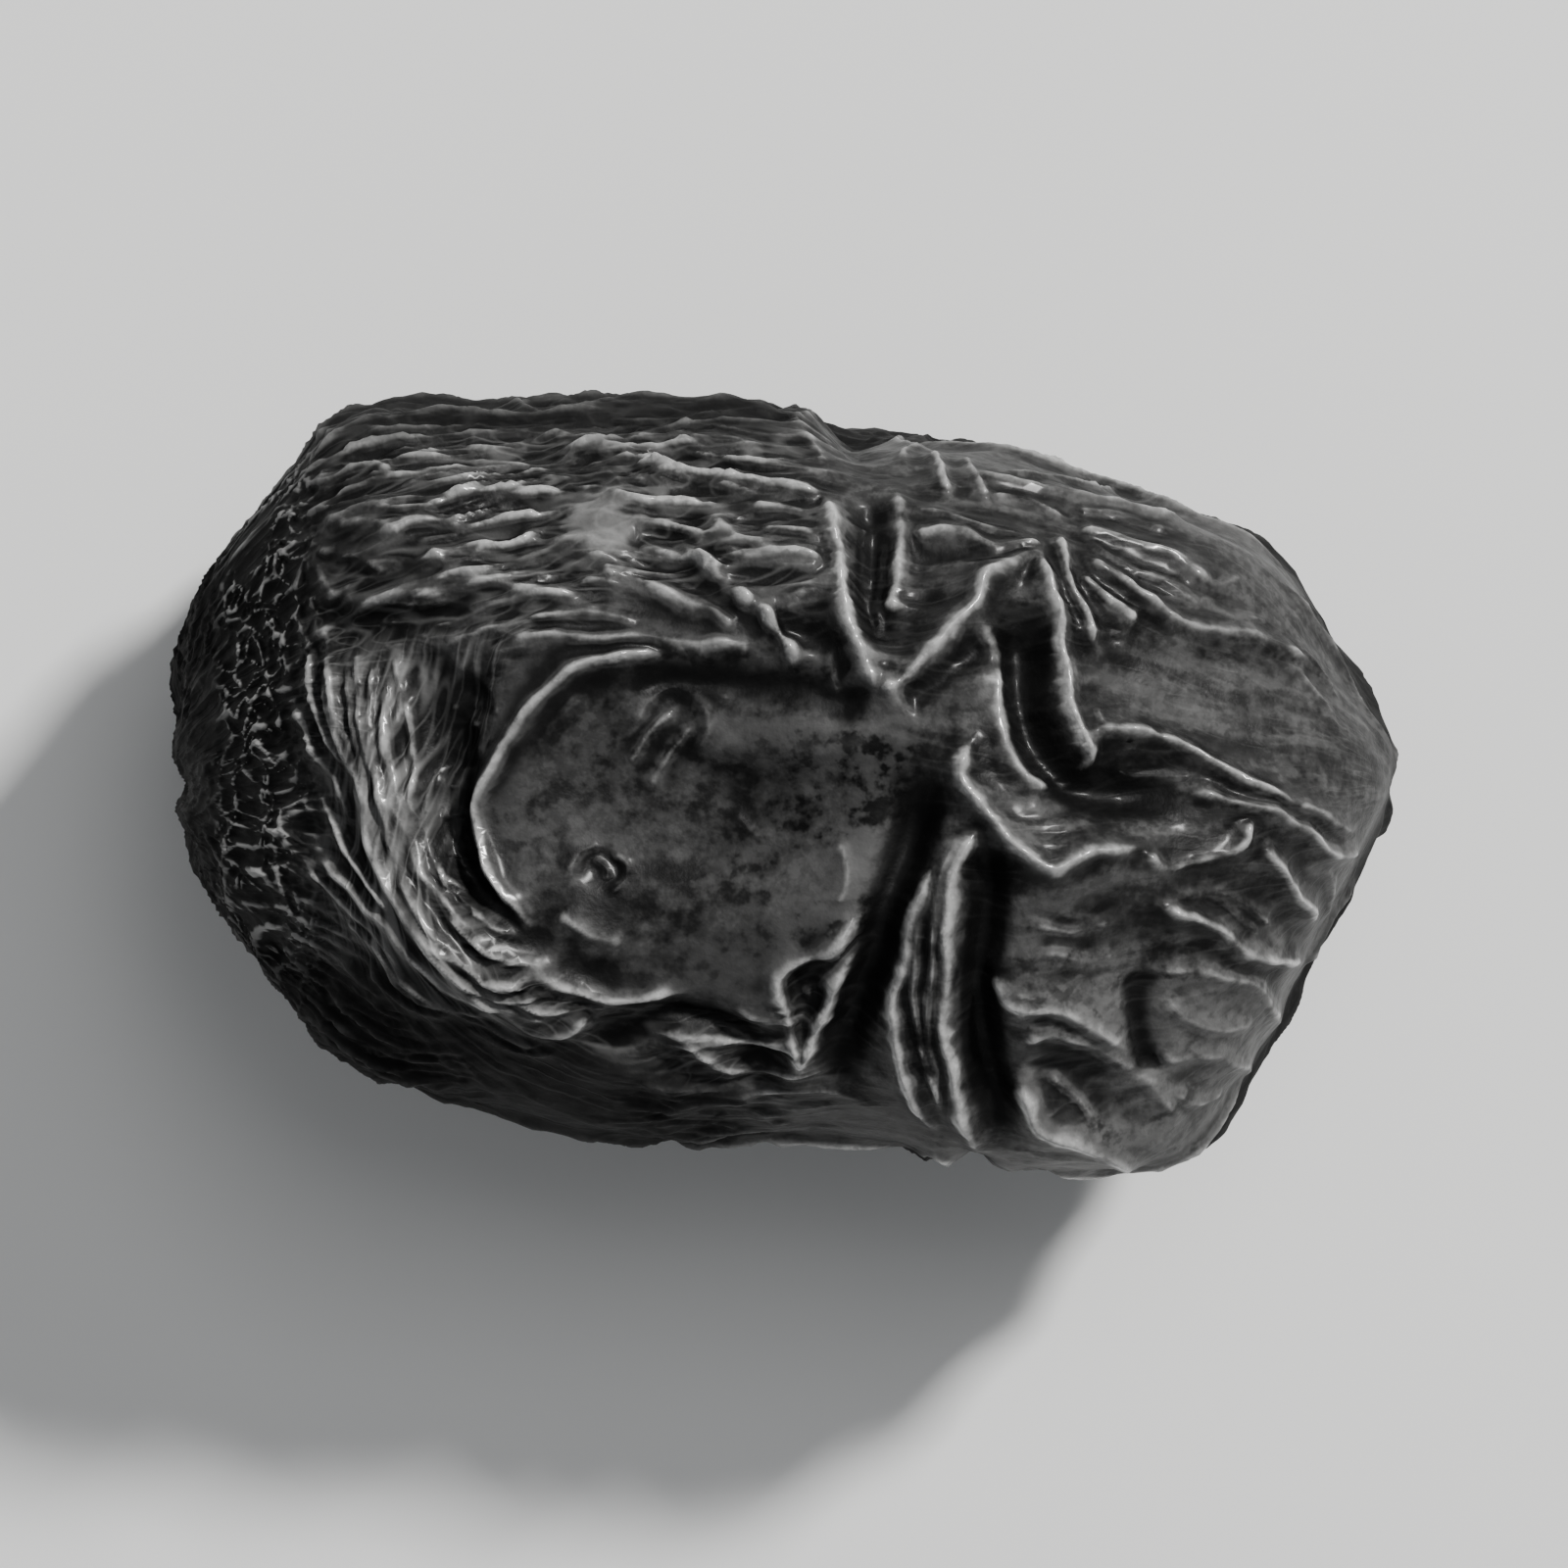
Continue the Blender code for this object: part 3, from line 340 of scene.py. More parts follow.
# %% Sharp folds: half-width, height and route, as seen from that side
FOLDS = {"top": (
    # Rim of the large hollow, and the folds that run round it
    (0.25, 0.52, (
        (-2.9, 3.5), (-4.3, 3.3), (-5.6, 3.1), (-6.8, 2.1), (-7.5, 1.0), (-8.2, -0.1), (-8.3, -1.2),
        (-7.7, -2.6), (-6.7, -3.6),
    )),
    (0.28, 0.40, (
        (-12.1, 3.9), (-11.8, 2.2), (-11.5, 1.0), (-10.9, -0.2), (-10.7, -1.5), (-10.2, -2.8),
        (-9.2, -3.9), (-7.8, -4.5),
    )),
    (0.26, 0.36, (
        (-10.5, 3.3), (-10.5, 1.8), (-10.2, 0.2), (-9.9, -1.2), (-9.3, -2.5), (-8.3, -3.5),
        (-7.2, -4.1),
    )),
    (0.28, 0.40, ((-12.9, 2.2), (-12.4, 1.0), (-11.7, 0.1), (-11.3, -1.0))),
    (0.28, 0.40, (
        (-12.4, -1.5), (-11.4, -2.6), (-10.3, -3.7), (-9.3, -4.6), (-8.1, -5.2), (-6.9, -5.4),
    )),
    (0.30, 0.40, ((-11.0, -3.7), (-10.2, -4.5), (-9.2, -5.3), (-7.9, -5.8))),
    (0.28, 0.34, ((-11.0, -4.5), (-10.1, -5.3), (-9.0, -5.9))),
    (0.36, 0.50, ((-8.4, -4.6), (-6.6, -4.6), (-5.5, -5.1), (-4.3, -5.35), (-2.8, -5.3))),
    (0.40, 0.40, ((-7.6, -5.2), (-6.8, -5.9), (-6.0, -6.1), (-5.2, -5.7))),
    (0.34, 0.26, ((-6.0, -3.3), (-5.3, -3.9), (-4.4, -4.2))),
    # Lengthwise folds of the upper shoulder
    (0.40, 0.42, ((-9.5, 6.2), (-8.6, 5.5), (-7.2, 5.0), (-5.2, 4.6))),
    (0.34, 0.34, ((-7.6, 4.0), (-5.2, 3.8), (-3.4, 3.8), (-1.0, 3.6))),
    (0.32, 0.30, ((-12.4, 5.9), (-11.8, 5.0), (-10.4, 4.8), (-8.9, 5.0))),
    (0.42, 0.46, ((-4.0, 8.2), (-2.4, 7.8), (-0.6, 7.6), (1.0, 7.4))),
    (0.38, 0.42, ((-2.2, 6.8), (-1.2, 6.0), (0.0, 5.7), (1.0, 5.5))),
    (0.28, 0.44, ((-2.8, 6.0), (-2.1, 5.45), (-1.5, 4.95), (-0.9, 4.6), (-0.3, 4.2), (0.2, 3.4))),
    (0.30, 0.34, ((-3.8, 5.1), (-2.9, 4.75), (-2.0, 4.5), (-1.3, 4.0))),
    # Posts and the V between the shoulder and the hollow
    (0.40, 0.60, ((0.9, 7.4), (1.4, 6.2), (1.5, 4.8), (1.9, 3.5), (2.4, 2.4))),
    (0.46, 0.42, ((2.9, 7.6), (3.0, 6.0), (2.8, 4.4))),
    (0.40, 0.55, ((2.4, 2.4), (3.1, 2.8), (4.0, 3.6), (4.9, 4.5), (5.3, 5.3), (6.7, 5.9))),
    (0.34, 0.38, ((6.8, 6.1), (5.6, 6.05), (4.5, 6.5), (3.2, 6.6))),
    # Folds that fan out of the star point
    (0.42, 0.62, ((6.6, 5.9), (7.05, 4.7), (7.3, 3.2), (7.45, 1.9), (7.8, 1.0), (8.3, 0.5))),
    (0.36, 0.45, ((7.3, 6.4), (7.5, 5.0), (8.3, 3.6))),
    (0.34, 0.36, ((7.8, 5.4), (8.6, 4.7), (9.4, 4.2))),
    (0.36, 0.42, ((7.9, 6.0), (9.1, 5.1), (10.8, 4.2), (12.5, 3.9), (14.0, 3.3))),
    (0.34, 0.30, ((7.8, 6.5), (8.8, 6.3), (10.2, 5.9), (11.4, 5.2))),
    (0.36, 0.34, ((4.9, 8.0), (6.8, 7.6), (8.6, 7.2), (10.4, 6.9))),
    # Edge of the large end facet, and the ribs below it
    (0.44, 0.55, (
        (8.3, 1.4), (9.5, 1.4), (10.6, 1.0), (12.0, 0.15), (13.6, -0.5), (15.1, -1.1),
    )),
    (0.40, 0.50, ((10.6, -0.2), (12.3, -0.6), (13.3, -0.8), (14.3, -1.6), (15.3, -1.6))),
    (0.36, 0.40, ((12.3, -0.8), (12.0, -1.5), (11.2, -1.8), (10.1, -2.1), (9.3, -1.7))),
    (0.42, 0.52, ((10.0, -3.0), (11.2, -3.5), (12.4, -4.3), (13.8, -4.5))),
    (0.36, 0.36, ((12.6, -1.5), (13.3, -2.4), (14.1, -3.3))),
    # The S fold and the double fold across the fruit
    (0.42, 0.60, (
        (4.9, 1.1), (4.5, 0.2), (5.3, -0.55), (6.0, -1.4), (7.0, -2.1), (8.1, -1.7), (9.3, -1.6),
    )),
    (0.36, 0.36, ((5.7, 3.2), (5.8, 1.6), (6.2, 0.5), (7.1, -0.1))),
    (0.42, 0.60, ((4.0, -1.9), (3.3, -3.3), (3.0, -4.8), (2.75, -5.7), (3.1, -7.2), (3.9, -8.8))),
    (0.34, 0.46, ((5.0, -1.1), (4.4, -2.4), (4.25, -4.2), (4.2, -6.0), (4.5, -7.6), (5.1, -9.4))),
    # The small three-cornered pit
    (0.34, 0.48, (
        (1.9, -3.5), (1.2, -4.2), (-0.1, -4.8), (0.0, -5.9), (0.35, -7.0), (1.0, -5.8), (1.8, -4.3),
    )),
    # Facets of the lower tip
    (0.42, 0.40, ((5.6, -4.9), (6.0, -5.7), (7.4, -5.8), (9.2, -6.9))),
    (0.36, 0.30, ((6.3, -6.6), (7.3, -6.4), (9.2, -7.3), (10.4, -8.6))),
    (0.40, 0.42, ((6.3, -7.8), (6.7, -8.8), (8.1, -9.2), (9.4, -9.9))),
    (0.36, 0.30, ((9.8, -4.8), (11.0, -4.7), (12.4, -5.1), (13.2, -6.2))),
    (0.36, 0.28, ((9.9, -7.0), (11.2, -6.9), (12.6, -7.4))),
), "near": (
    # The double fold, run on down the side
    (0.44, 0.34, ((3.9, 4.2), (4.4, 2.6), (3.7, 0.8), (4.2, -1.0), (3.2, -2.8), (3.9, -4.9))),
    (0.40, 0.30, ((5.2, 3.4), (6.1, 1.9), (5.7, 0.2), (6.9, -1.3), (6.0, -3.2), (7.2, -5.0))),
    (0.36, 0.35, ((4.2, -1.0), (5.0, -2.2), (6.1, -3.1))),
    # Lengthwise folds and the short ones that join them
    (0.40, 0.45, ((-12.5, 2.6), (-9.5, 1.6), (-6.0, 2.0), (-2.5, 1.0), (1.0, 1.6), (3.6, 0.6))),
    (0.38, 0.40, (
        (-11.0, -0.6), (-8.0, -1.6), (-4.5, -0.9), (-1.5, -1.8), (1.5, -1.0), (3.6, -1.4),
    )),
    (0.40, 0.45, (
        (-12.0, -3.4), (-8.5, -4.2), (-5.0, -3.6), (-2.0, -4.6), (1.2, -3.9), (4.2, -4.4),
    )),
    (0.36, 0.35, ((-6.0, 2.0), (-5.0, 0.6), (-4.4, -0.8))),
    (0.36, 0.35, ((-1.4, -1.8), (-2.4, -3.2), (-2.1, -4.5))),
    (0.36, 0.35, ((-9.0, -4.1), (-7.4, -5.6), (-4.0, -6.2), (-0.5, -5.8))),
    (0.40, 0.40, ((6.1, -1.4), (8.2, -0.8), (10.5, -1.8), (12.6, -1.2), (14.2, -2.0))),
    (0.36, 0.35, ((5.9, -4.2), (8.4, -4.8), (10.8, -4.0), (13.0, -4.6))),
    (0.36, 0.35, ((10.4, -1.8), (10.0, -3.0), (10.8, -4.0))),
    (0.36, 0.35, ((7.0, 2.6), (8.6, 1.6), (10.4, 1.8), (12.4, 0.8))),
), "far": (
    # The posts, run on down the side
    (0.40, 0.32, ((1.0, 5.8), (0.4, 3.6), (0.8, 1.2), (0.2, -1.0), (0.9, -3.4))),
    (0.38, 0.28, ((3.0, 5.2), (3.6, 3.0), (3.0, 0.8), (3.8, -1.4), (3.4, -3.8), (4.4, -5.6))),
    # Lengthwise folds and the short ones that join them
    (0.40, 0.42, ((-12.8, 3.8), (-9.6, 3.0), (-6.4, 3.6), (-3.0, 2.8), (0.2, 3.2))),
    (0.40, 0.42, ((-13.0, 0.6), (-10.0, -0.4), (-6.6, 0.4), (-3.4, -0.6), (0.4, 0.2))),
    (0.38, 0.40, (
        (-11.8, -3.0), (-8.6, -2.2), (-5.4, -3.2), (-2.4, -2.6), (0.6, -3.2), (3.6, -2.8),
    )),
    (0.36, 0.35, ((-6.6, 3.5), (-7.4, 2.0), (-6.8, 0.4))),
    (0.36, 0.35, ((-3.2, -0.6), (-2.2, -1.6), (-2.6, -2.6))),
    (0.40, 0.42, ((3.4, 1.4), (6.0, 2.2), (8.6, 1.4), (11.0, 2.2), (13.2, 1.4))),
    (0.38, 0.40, ((3.7, -1.4), (6.4, -2.2), (9.2, -1.2), (11.6, -2.0), (13.6, -1.4))),
    (0.36, 0.35, ((8.6, 1.4), (8.0, 0.0), (8.8, -1.2))),
    (0.36, 0.35, ((3.6, -3.9), (6.6, -4.6), (9.6, -3.8), (12.0, -4.6))),
    (0.36, 0.32, ((-9.0, -5.4), (-5.4, -4.8), (-2.0, -5.6), (1.6, -5.0))),
), "tip": (
    # Folds that run out from the point
    (0.42, 0.32, ((0.2, 0.4), (1.6, 1.6), (3.4, 2.0), (5.2, 3.2))),
    (0.40, 0.34, ((0.4, 0.2), (2.0, -1.0), (3.6, -2.6), (4.6, -5.0))),
    (0.40, 0.34, ((-0.2, -0.2), (-1.0, -1.8), (-0.6, -3.8), (-1.4, -6.0))),
    (0.40, 0.26, ((-0.4, 0.0), (-2.2, -0.4), (-4.2, -1.6), (-6.2, -1.4))),
    (0.36, 0.24, ((-2.2, -0.4), (-3.4, 1.0), (-4.6, 1.4))),
    (0.36, 0.32, ((-0.8, -3.8), (-2.6, -4.6), (-4.4, -5.4))),
)}

FOLD_SEED = 5
FOLD_WINDING = 0.16
FOLD_NARROWING = 0.82
CREST_ROUNDING = 0.04
CREST_RAGGEDNESS = 0.035


def rounded(distance, rounding):
    """√(distance² + rounding²) - rounding, which has no kink where the distance is 0."""
    return np.sqrt(distance**2 + rounding**2) - rounding


def tapered(along, reach):
    """0 a little past both ends of a route, and 1 from reach of its length inwards."""
    return smoothstep(-0.02, reach, along) * smoothstep(-0.02, reach, 1.0 - along)


def folds(points, table, winding, narrowing=1.0):
    """(sum over routes of (height e^(-distance/width))⁴)^¼, lower at each route's ends."""
    total = np.zeros(len(points))
    wound = drift(drift(points, 1.3, winding, FOLD_SEED), 0.5, CREST_RAGGEDNESS, FOLD_SEED + 30)
    uneven = 1.0 + 0.35 * noise(points / 1.8, FOLD_SEED + 5)
    uneven += 0.12 * noise(points / 0.6, FOLD_SEED + 6)
    for width, height, distance, along in drawn(wound, table, 6.0):
        height *= 0.3 + 0.7 * tapered(along, 0.12)
        fall = np.exp(-rounded(distance, CREST_ROUNDING) / (width * narrowing))
        total += (height * fall) ** 4
    return uneven * total**0.25


# The CAD model's triangles need these folds a little wider than they are
main_folds = folds(body, FOLDS, FOLD_WINDING, FOLD_NARROWING)
print(sum(map(len, FOLDS.values())), "main folds, up to", main_folds.max().round(2), "mm high")

# %% [markdown]
# ## Furrows and hollows
#
# Between the crests the skin has sunk. Some of that is narrow, like a valley with a round floor,
# and is drawn as routes again, with a bell-shaped cross-section. The rest is broad: the large bowl
# at the stem end, the dished facet at the tip, and the dents in the outline.

# %% Round-bottomed furrows: half-width, depth and route
FURROWS = {"top": (
    (0.75, 0.95, (
        (6.0, 5.0), (6.4, 3.6), (6.5, 2.1), (6.9, 1.0), (7.7, 0.2), (9.2, -0.1), (11.0, -0.3),
    )),
    (0.70, 0.80, ((4.1, 0.7), (3.5, -0.9), (3.0, -2.6), (2.4, -4.6), (1.6, -6.3), (1.4, -8.0))),
    (0.65, 0.80, ((5.1, -1.2), (5.4, -2.8), (5.2, -5.0), (5.3, -7.2), (6.0, -9.4))),
    (0.60, 0.45, ((2.4, 7.6), (2.2, 5.6), (2.3, 3.4))),
    (0.55, 0.40, ((3.0, 2.1), (4.2, 2.9), (5.5, 4.0))),
    (0.50, 0.40, ((-0.6, 4.1), (0.9, 3.9), (1.7, 2.6))),
    (0.50, 0.35, ((9.5, -4.7), (9.4, -6.2), (9.7, -7.6))),
    (0.60, 0.45, ((-5.4, -6.6), (-3.4, -6.0), (-1.4, -6.4), (0.0, -7.6))),
    (0.66, 0.62, (
        (-7.6, 3.4), (-8.5, 2.3), (-8.9, 0.8), (-9.0, -0.8), (-8.6, -2.4), (-7.4, -3.9),
    )),
    (0.80, 0.40, ((-9.5, 3.9), (-9.3, 2.6), (-9.3, 1.2), (-9.2, 0.0))),
    (0.45, 0.20, ((-12.6, 4.6), (-11.0, 4.2), (-9.4, 4.2), (-8.0, 4.5))),
    (0.70, 0.45, ((-4.4, 2.9), (-2.0, 2.8), (0.6, 2.6), (2.6, 1.9))),
), "near": (
    (0.60, 0.45, ((4.6, 4.4), (5.2, 2.4), (4.8, 0.4), (5.6, -1.6), (4.8, -3.4), (5.4, -5.4))),
    (0.75, 0.40, ((-9.5, 0.2), (-5.6, 0.0), (-2.0, -0.4), (2.4, 0.2))),
    (0.70, 0.35, ((7.0, -3.0), (9.0, -2.8), (12.4, -3.0))),
), "far": (
    (0.65, 0.35, ((2.0, 5.6), (1.8, 3.2), (2.0, 0.6), (1.8, -2.2))),
    (0.75, 0.40, ((-11.0, 1.8), (-7.6, 1.6), (-3.4, 1.2))),
    (0.70, 0.35, ((5.0, 0.2), (8.0, 0.0), (12.4, 0.2))),
)}


# Round-backed swells: the one that carries the crests outside the bowl, and a band across the bowl
SWELLS = {"top": (
    (1.05, 0.55, (
        (-11.8, 3.7), (-11.4, 1.6), (-10.8, -0.4), (-10.2, -2.4), (-9.0, -4.2), (-7.2, -5.1),
        (-5.4, -5.4),
    )),
    (0.55, 0.28, ((-2.6, 1.2), (-0.8, 1.05), (1.0, 1.0), (2.6, 1.2))),
)}


def rounded_routes(points, table):
    """(sum over routes of (size e^(-(distance/width)²))²)^½, tapered at each route's ends."""
    total = np.zeros(len(points))
    for width, size, distance, along in drawn(points, table, 4.0):
        total += (size * tapered(along, 0.18) * np.exp(-((distance / width) ** 2))) ** 2
    return np.sqrt(total)


furrow = rounded_routes(body, FURROWS)
main_furrows = rounded_routes(body, SWELLS) - furrow
print("furrows up to", furrow.max().round(2), "mm deep")

# %% Broad hollows of the upper side: middle, half-lengths, turn in degrees, height
HOLLOWS = (
    ((2.6, 10.4), (2.6, 2.2), 0, -0.70),
    ((1.0, -10.4), (3.6, 2.2), 0, -0.60),
    ((-3.4, -0.5), (4.2, 3.3), 0, -1.35),
    ((1.2, -1.6), (3.0, 3.2), -35, -0.45),
    ((-4.8, 6.6), (1.1, 0.9), 0, 0.30),
    ((-0.3, 5.7), (2.2, 1.2), -12, 0.35),
    ((3.2, 5.0), (1.0, 2.0), 0, -0.35),
    ((10.8, 2.6), (4.2, 2.2), -12, -0.36),
    ((8.2, -3.9), (2.4, 1.4), 0, -0.35),
    ((7.8, -7.7), (1.6, 1.0), -20, -0.45),
    ((11.4, -6.0), (1.7, 1.0), 0, 0.20),
    ((11.3, -2.6), (1.4, 0.8), -15, -0.30),
    ((0.5, -5.5), (0.6, 1.1), -15, -0.45),
)


def hollows(points, table=HOLLOWS):
    """The sum of height e^(-r³) over the table, r being the distance in half-lengths; top only."""
    total = np.zeros(len(points))
    upper = smoothstep(-4.0, 0.0, points[:, 2])
    for middle, halves, turn, height in table:
        turn = np.radians(turn)
        x, y = (points[:, :2] - middle).T
        across = (x * np.cos(turn) + y * np.sin(turn)) / halves[0]
        up = (y * np.cos(turn) - x * np.sin(turn)) / halves[1]
        total += height * upper * np.exp(-((across**2 + up**2) ** 1.5))
    return total


main_hollows = hollows(body)
print("broad hollows from", main_hollows.min().round(2), "to", main_hollows.max().round(2), "mm")

# %% [markdown]
# ## The net of folds on the sides and underneath
#
# The hidden sides fold like the seen ones, into a loose net. Such a net is what lies between cells:
# seeds are strewn at random, and a point is on the net when it is as near to one seed as to the
# next. The same function, at a seventh of the size, makes the crackle at the stem end further down.

# %% Cells and the net between them
NET_SEED = 11
NET_SPACING = 5.2
NET_STRETCH = 1.35
NET_WIDTH = 0.75
NET_HEIGHT = 0.75
NET_ROUNDING = 0.2
NET_SINKING = 0.3
NET_CELLS = 16


def cell_edges(points, spacing, stretch, seed):
    """Second-nearest seed's distance less the nearest's, in mm: 0 on the net between the cells."""
    scaled = points / (spacing * np.array([stretch, 1.0, 1.0]))
    shifts = np.random.default_rng(seed).random((NET_CELLS, NET_CELLS, NET_CELLS, 3))
    corner = np.floor(scaled).astype(int)
    gaps = []
    for step in np.ndindex(3, 3, 3):
        cell = corner + step - 1
        wrapped = cell % NET_CELLS
        place = cell + shifts[wrapped[:, 0], wrapped[:, 1], wrapped[:, 2]]
        gaps.append(np.linalg.norm(scaled - place, axis=1))
    first, second = np.partition(np.stack(gaps), 1, axis=0)[:2]
    return (second - first) * spacing


def net(points):
    """height (strength e^(-edge/width) - sinking), with drifting cells and a varying strength."""
    edge = cell_edges(drift(points, 4.0, 1.3, NET_SEED), NET_SPACING, NET_STRETCH, NET_SEED)
    strength = smoothstep(-0.55, 0.35, noise(points / 4.5, NET_SEED + 7))
    fall = np.exp(-rounded(edge, NET_ROUNDING) / NET_WIDTH)
    return NET_HEIGHT * (strength * fall - NET_SINKING)


side_net = net(body)
print("net from", side_net.min().round(2), "to", side_net.max().round(2), "mm")

# %% [markdown]
# ## Wrinkles
#
# Finer wrinkles run from end to end and draw together at both ends, as the lines of longitude do,
# and round the bowl they turn into rings. They are noise with its zero line folded into a crest,
# stretched along the run. One function says where each point lies on those two courses, and one
# makes wrinkles of any size on them: the coarse ones that the CAD model has too, and the fine ones
# that only this skin has room for. The finest lines of all are left to the finish, which reads the
# same two courses.

# %% The courses that the wrinkles follow
WRINKLE_GIRTH = 8.0
RING_MIDDLE = (-3.4, -0.4)
RING_TURN = 7.0


def courses(points, seed):
    """(run, two places round the girth) and its share, (radius, arc of a ring, 0) and its share."""
    x, y, z = points.T
    moved = drift(points, 5.0, 0.9, seed)
    out = np.hypot(moved[:, 1], moved[:, 2])
    near_end = smoothstep(6.0, 14.0, np.abs(x))
    run = moved[:, 0] + np.sign(x) * near_end * np.maximum(WRINKLE_GIRTH - out, 0.0)
    round_it = moved[:, 1:] * (WRINKLE_GIRTH / np.maximum(out, 0.5))[:, None]
    from_middle = moved[:, :2] - RING_MIDDLE
    radius = np.hypot(*from_middle.T)
    # The arc is counted from the stem side, so that its seam lies where there are no rings
    arc = RING_TURN * np.arctan2(from_middle[:, 1], -from_middle[:, 0])
    upper = smoothstep(-1.0, 3.0, z)
    ring_share = upper * smoothstep(5.4, 6.2, radius) * smoothstep(10.0, 7.5, radius)
    ring_share *= smoothstep(-2.0, -6.0, x) * smoothstep(4.6, 3.0, y)
    calm = 1.0 - upper * smoothstep(6.0, 4.9, np.hypot((x + 2.6) / 1.15, y + 0.4))
    run_share = calm * (1.0 - ring_share) * smoothstep(0.5, 3.5, out)
    lengthwise = np.column_stack([run, round_it])
    ringwise = np.column_stack([radius, arc, 0.0 * arc])
    return lengthwise, run_share, ringwise, ring_share


run_share, ring_share = courses(body, 0)[1::2]
print("shares: lengthwise", run_share.mean().round(2), "and in rings", ring_share.mean().round(2))

# %% Wrinkles of any spacing
WRINKLE_SEED = 23
WRINKLE_SPACING = 1.7
WRINKLE_LENGTH = 5.0
WRINKLE_HEIGHT = 0.26


def ridged(points, seed):
    """(1 - |noise|)^1.5, sharp where noise is zero, plus the same at half the size and height."""
    coarse = 1.0 - np.minimum(np.abs(noise(points, seed)) * 2.2, 1.0)
    fine = 1.0 - np.minimum(np.abs(noise(points * 1.9, seed + 1)) * 2.2, 1.0)
    return coarse**1.5 + 0.45 * fine**1.5 * (0.3 + coarse)


def wrinkles(points, spacing=WRINKLE_SPACING, length=WRINKLE_LENGTH, seed=WRINKLE_SEED, calm=0.75):
    """Ridged noise on both courses, 1 / length dense along them and 1 / spacing across them.

    They are lower by the share calm on the top of the tip, and by less where the fruit is widest.
    """
    lengthwise, run_share, ringwise, ring_share = courses(points, seed)
    x, y, z = points.T
    tip_top = smoothstep(-1.0, 3.0, z) * smoothstep(-3.0, 4.0, x)
    tip = smoothstep(8.0, 12.0, x)
    widest = smoothstep(5.0, 3.0, z) * smoothstep(-6.0, -3.0, z)
    steady = (1.0 - calm * tip_top) * (1.0 - 0.8 * calm * tip) * (1.0 - 0.6 * calm * widest)
    patchy = 0.45 + 0.55 * smoothstep(-0.4, 0.3, noise(points / 5.0, seed + 9))
    total = run_share * steady * ridged(lengthwise / [length, spacing, spacing], seed + 3)
    total += 0.6 * ring_share * ridged(ringwise / [spacing, length, 1.0], seed + 5)
    return patchy * total


coarse_wrinkles = WRINKLE_HEIGHT * wrinkles(body)
print("coarse wrinkles up to", coarse_wrinkles.max().round(2), "mm")

# %% [markdown]
# ## The stem scar
#
# Where the stalk broke off there is a small pit, and the skin is gathered into it in short pleats,
# like the neck of a tied bag. A cosine of the angle round the pit makes the pleats, and a slow
# sine shifts it so that no two are alike.

# %% Pit and pleats at the stem end
SCAR_RADIUS = 1.5
SCAR_DEPTH = 1.2
SCAR_HEIGHT = -1.5
SCAR_PLEATS = 11
SCAR_PLEAT = 0.16


def scar(points):
    """-depth e^(-(r/R)²) + pleat cos(n a + 1.4 sin 3a), at the stem end only."""
    x, y, z = points.T
    radius = np.hypot(y, z - SCAR_HEIGHT)
    turn = np.arctan2(z - SCAR_HEIGHT, y)
    at_end = smoothstep(-13.0, -15.0, x)
    pit = -SCAR_DEPTH * np.exp(-((radius / SCAR_RADIUS) ** 2))
    pleats = SCAR_PLEAT * np.cos(SCAR_PLEATS * turn + 1.4 * np.sin(3.0 * turn))
    pleats *= smoothstep(0.5, 1.6, radius) * smoothstep(5.5, 2.5, radius)
    return at_end * (pit + pleats)


stem_scar = scar(body)
print("scar from", stem_scar.min().round(2), "to", stem_scar.max().round(2), "mm")

# %% [markdown]
# ## Fine folds
#
# What follows is only in this skin. First come creases too narrow for the CAD model: the sheaf of
# lines on the upper shoulder, the parallel crests outside the bowl, and the short creases between
# the big ones. They are drawn just as the main folds are.

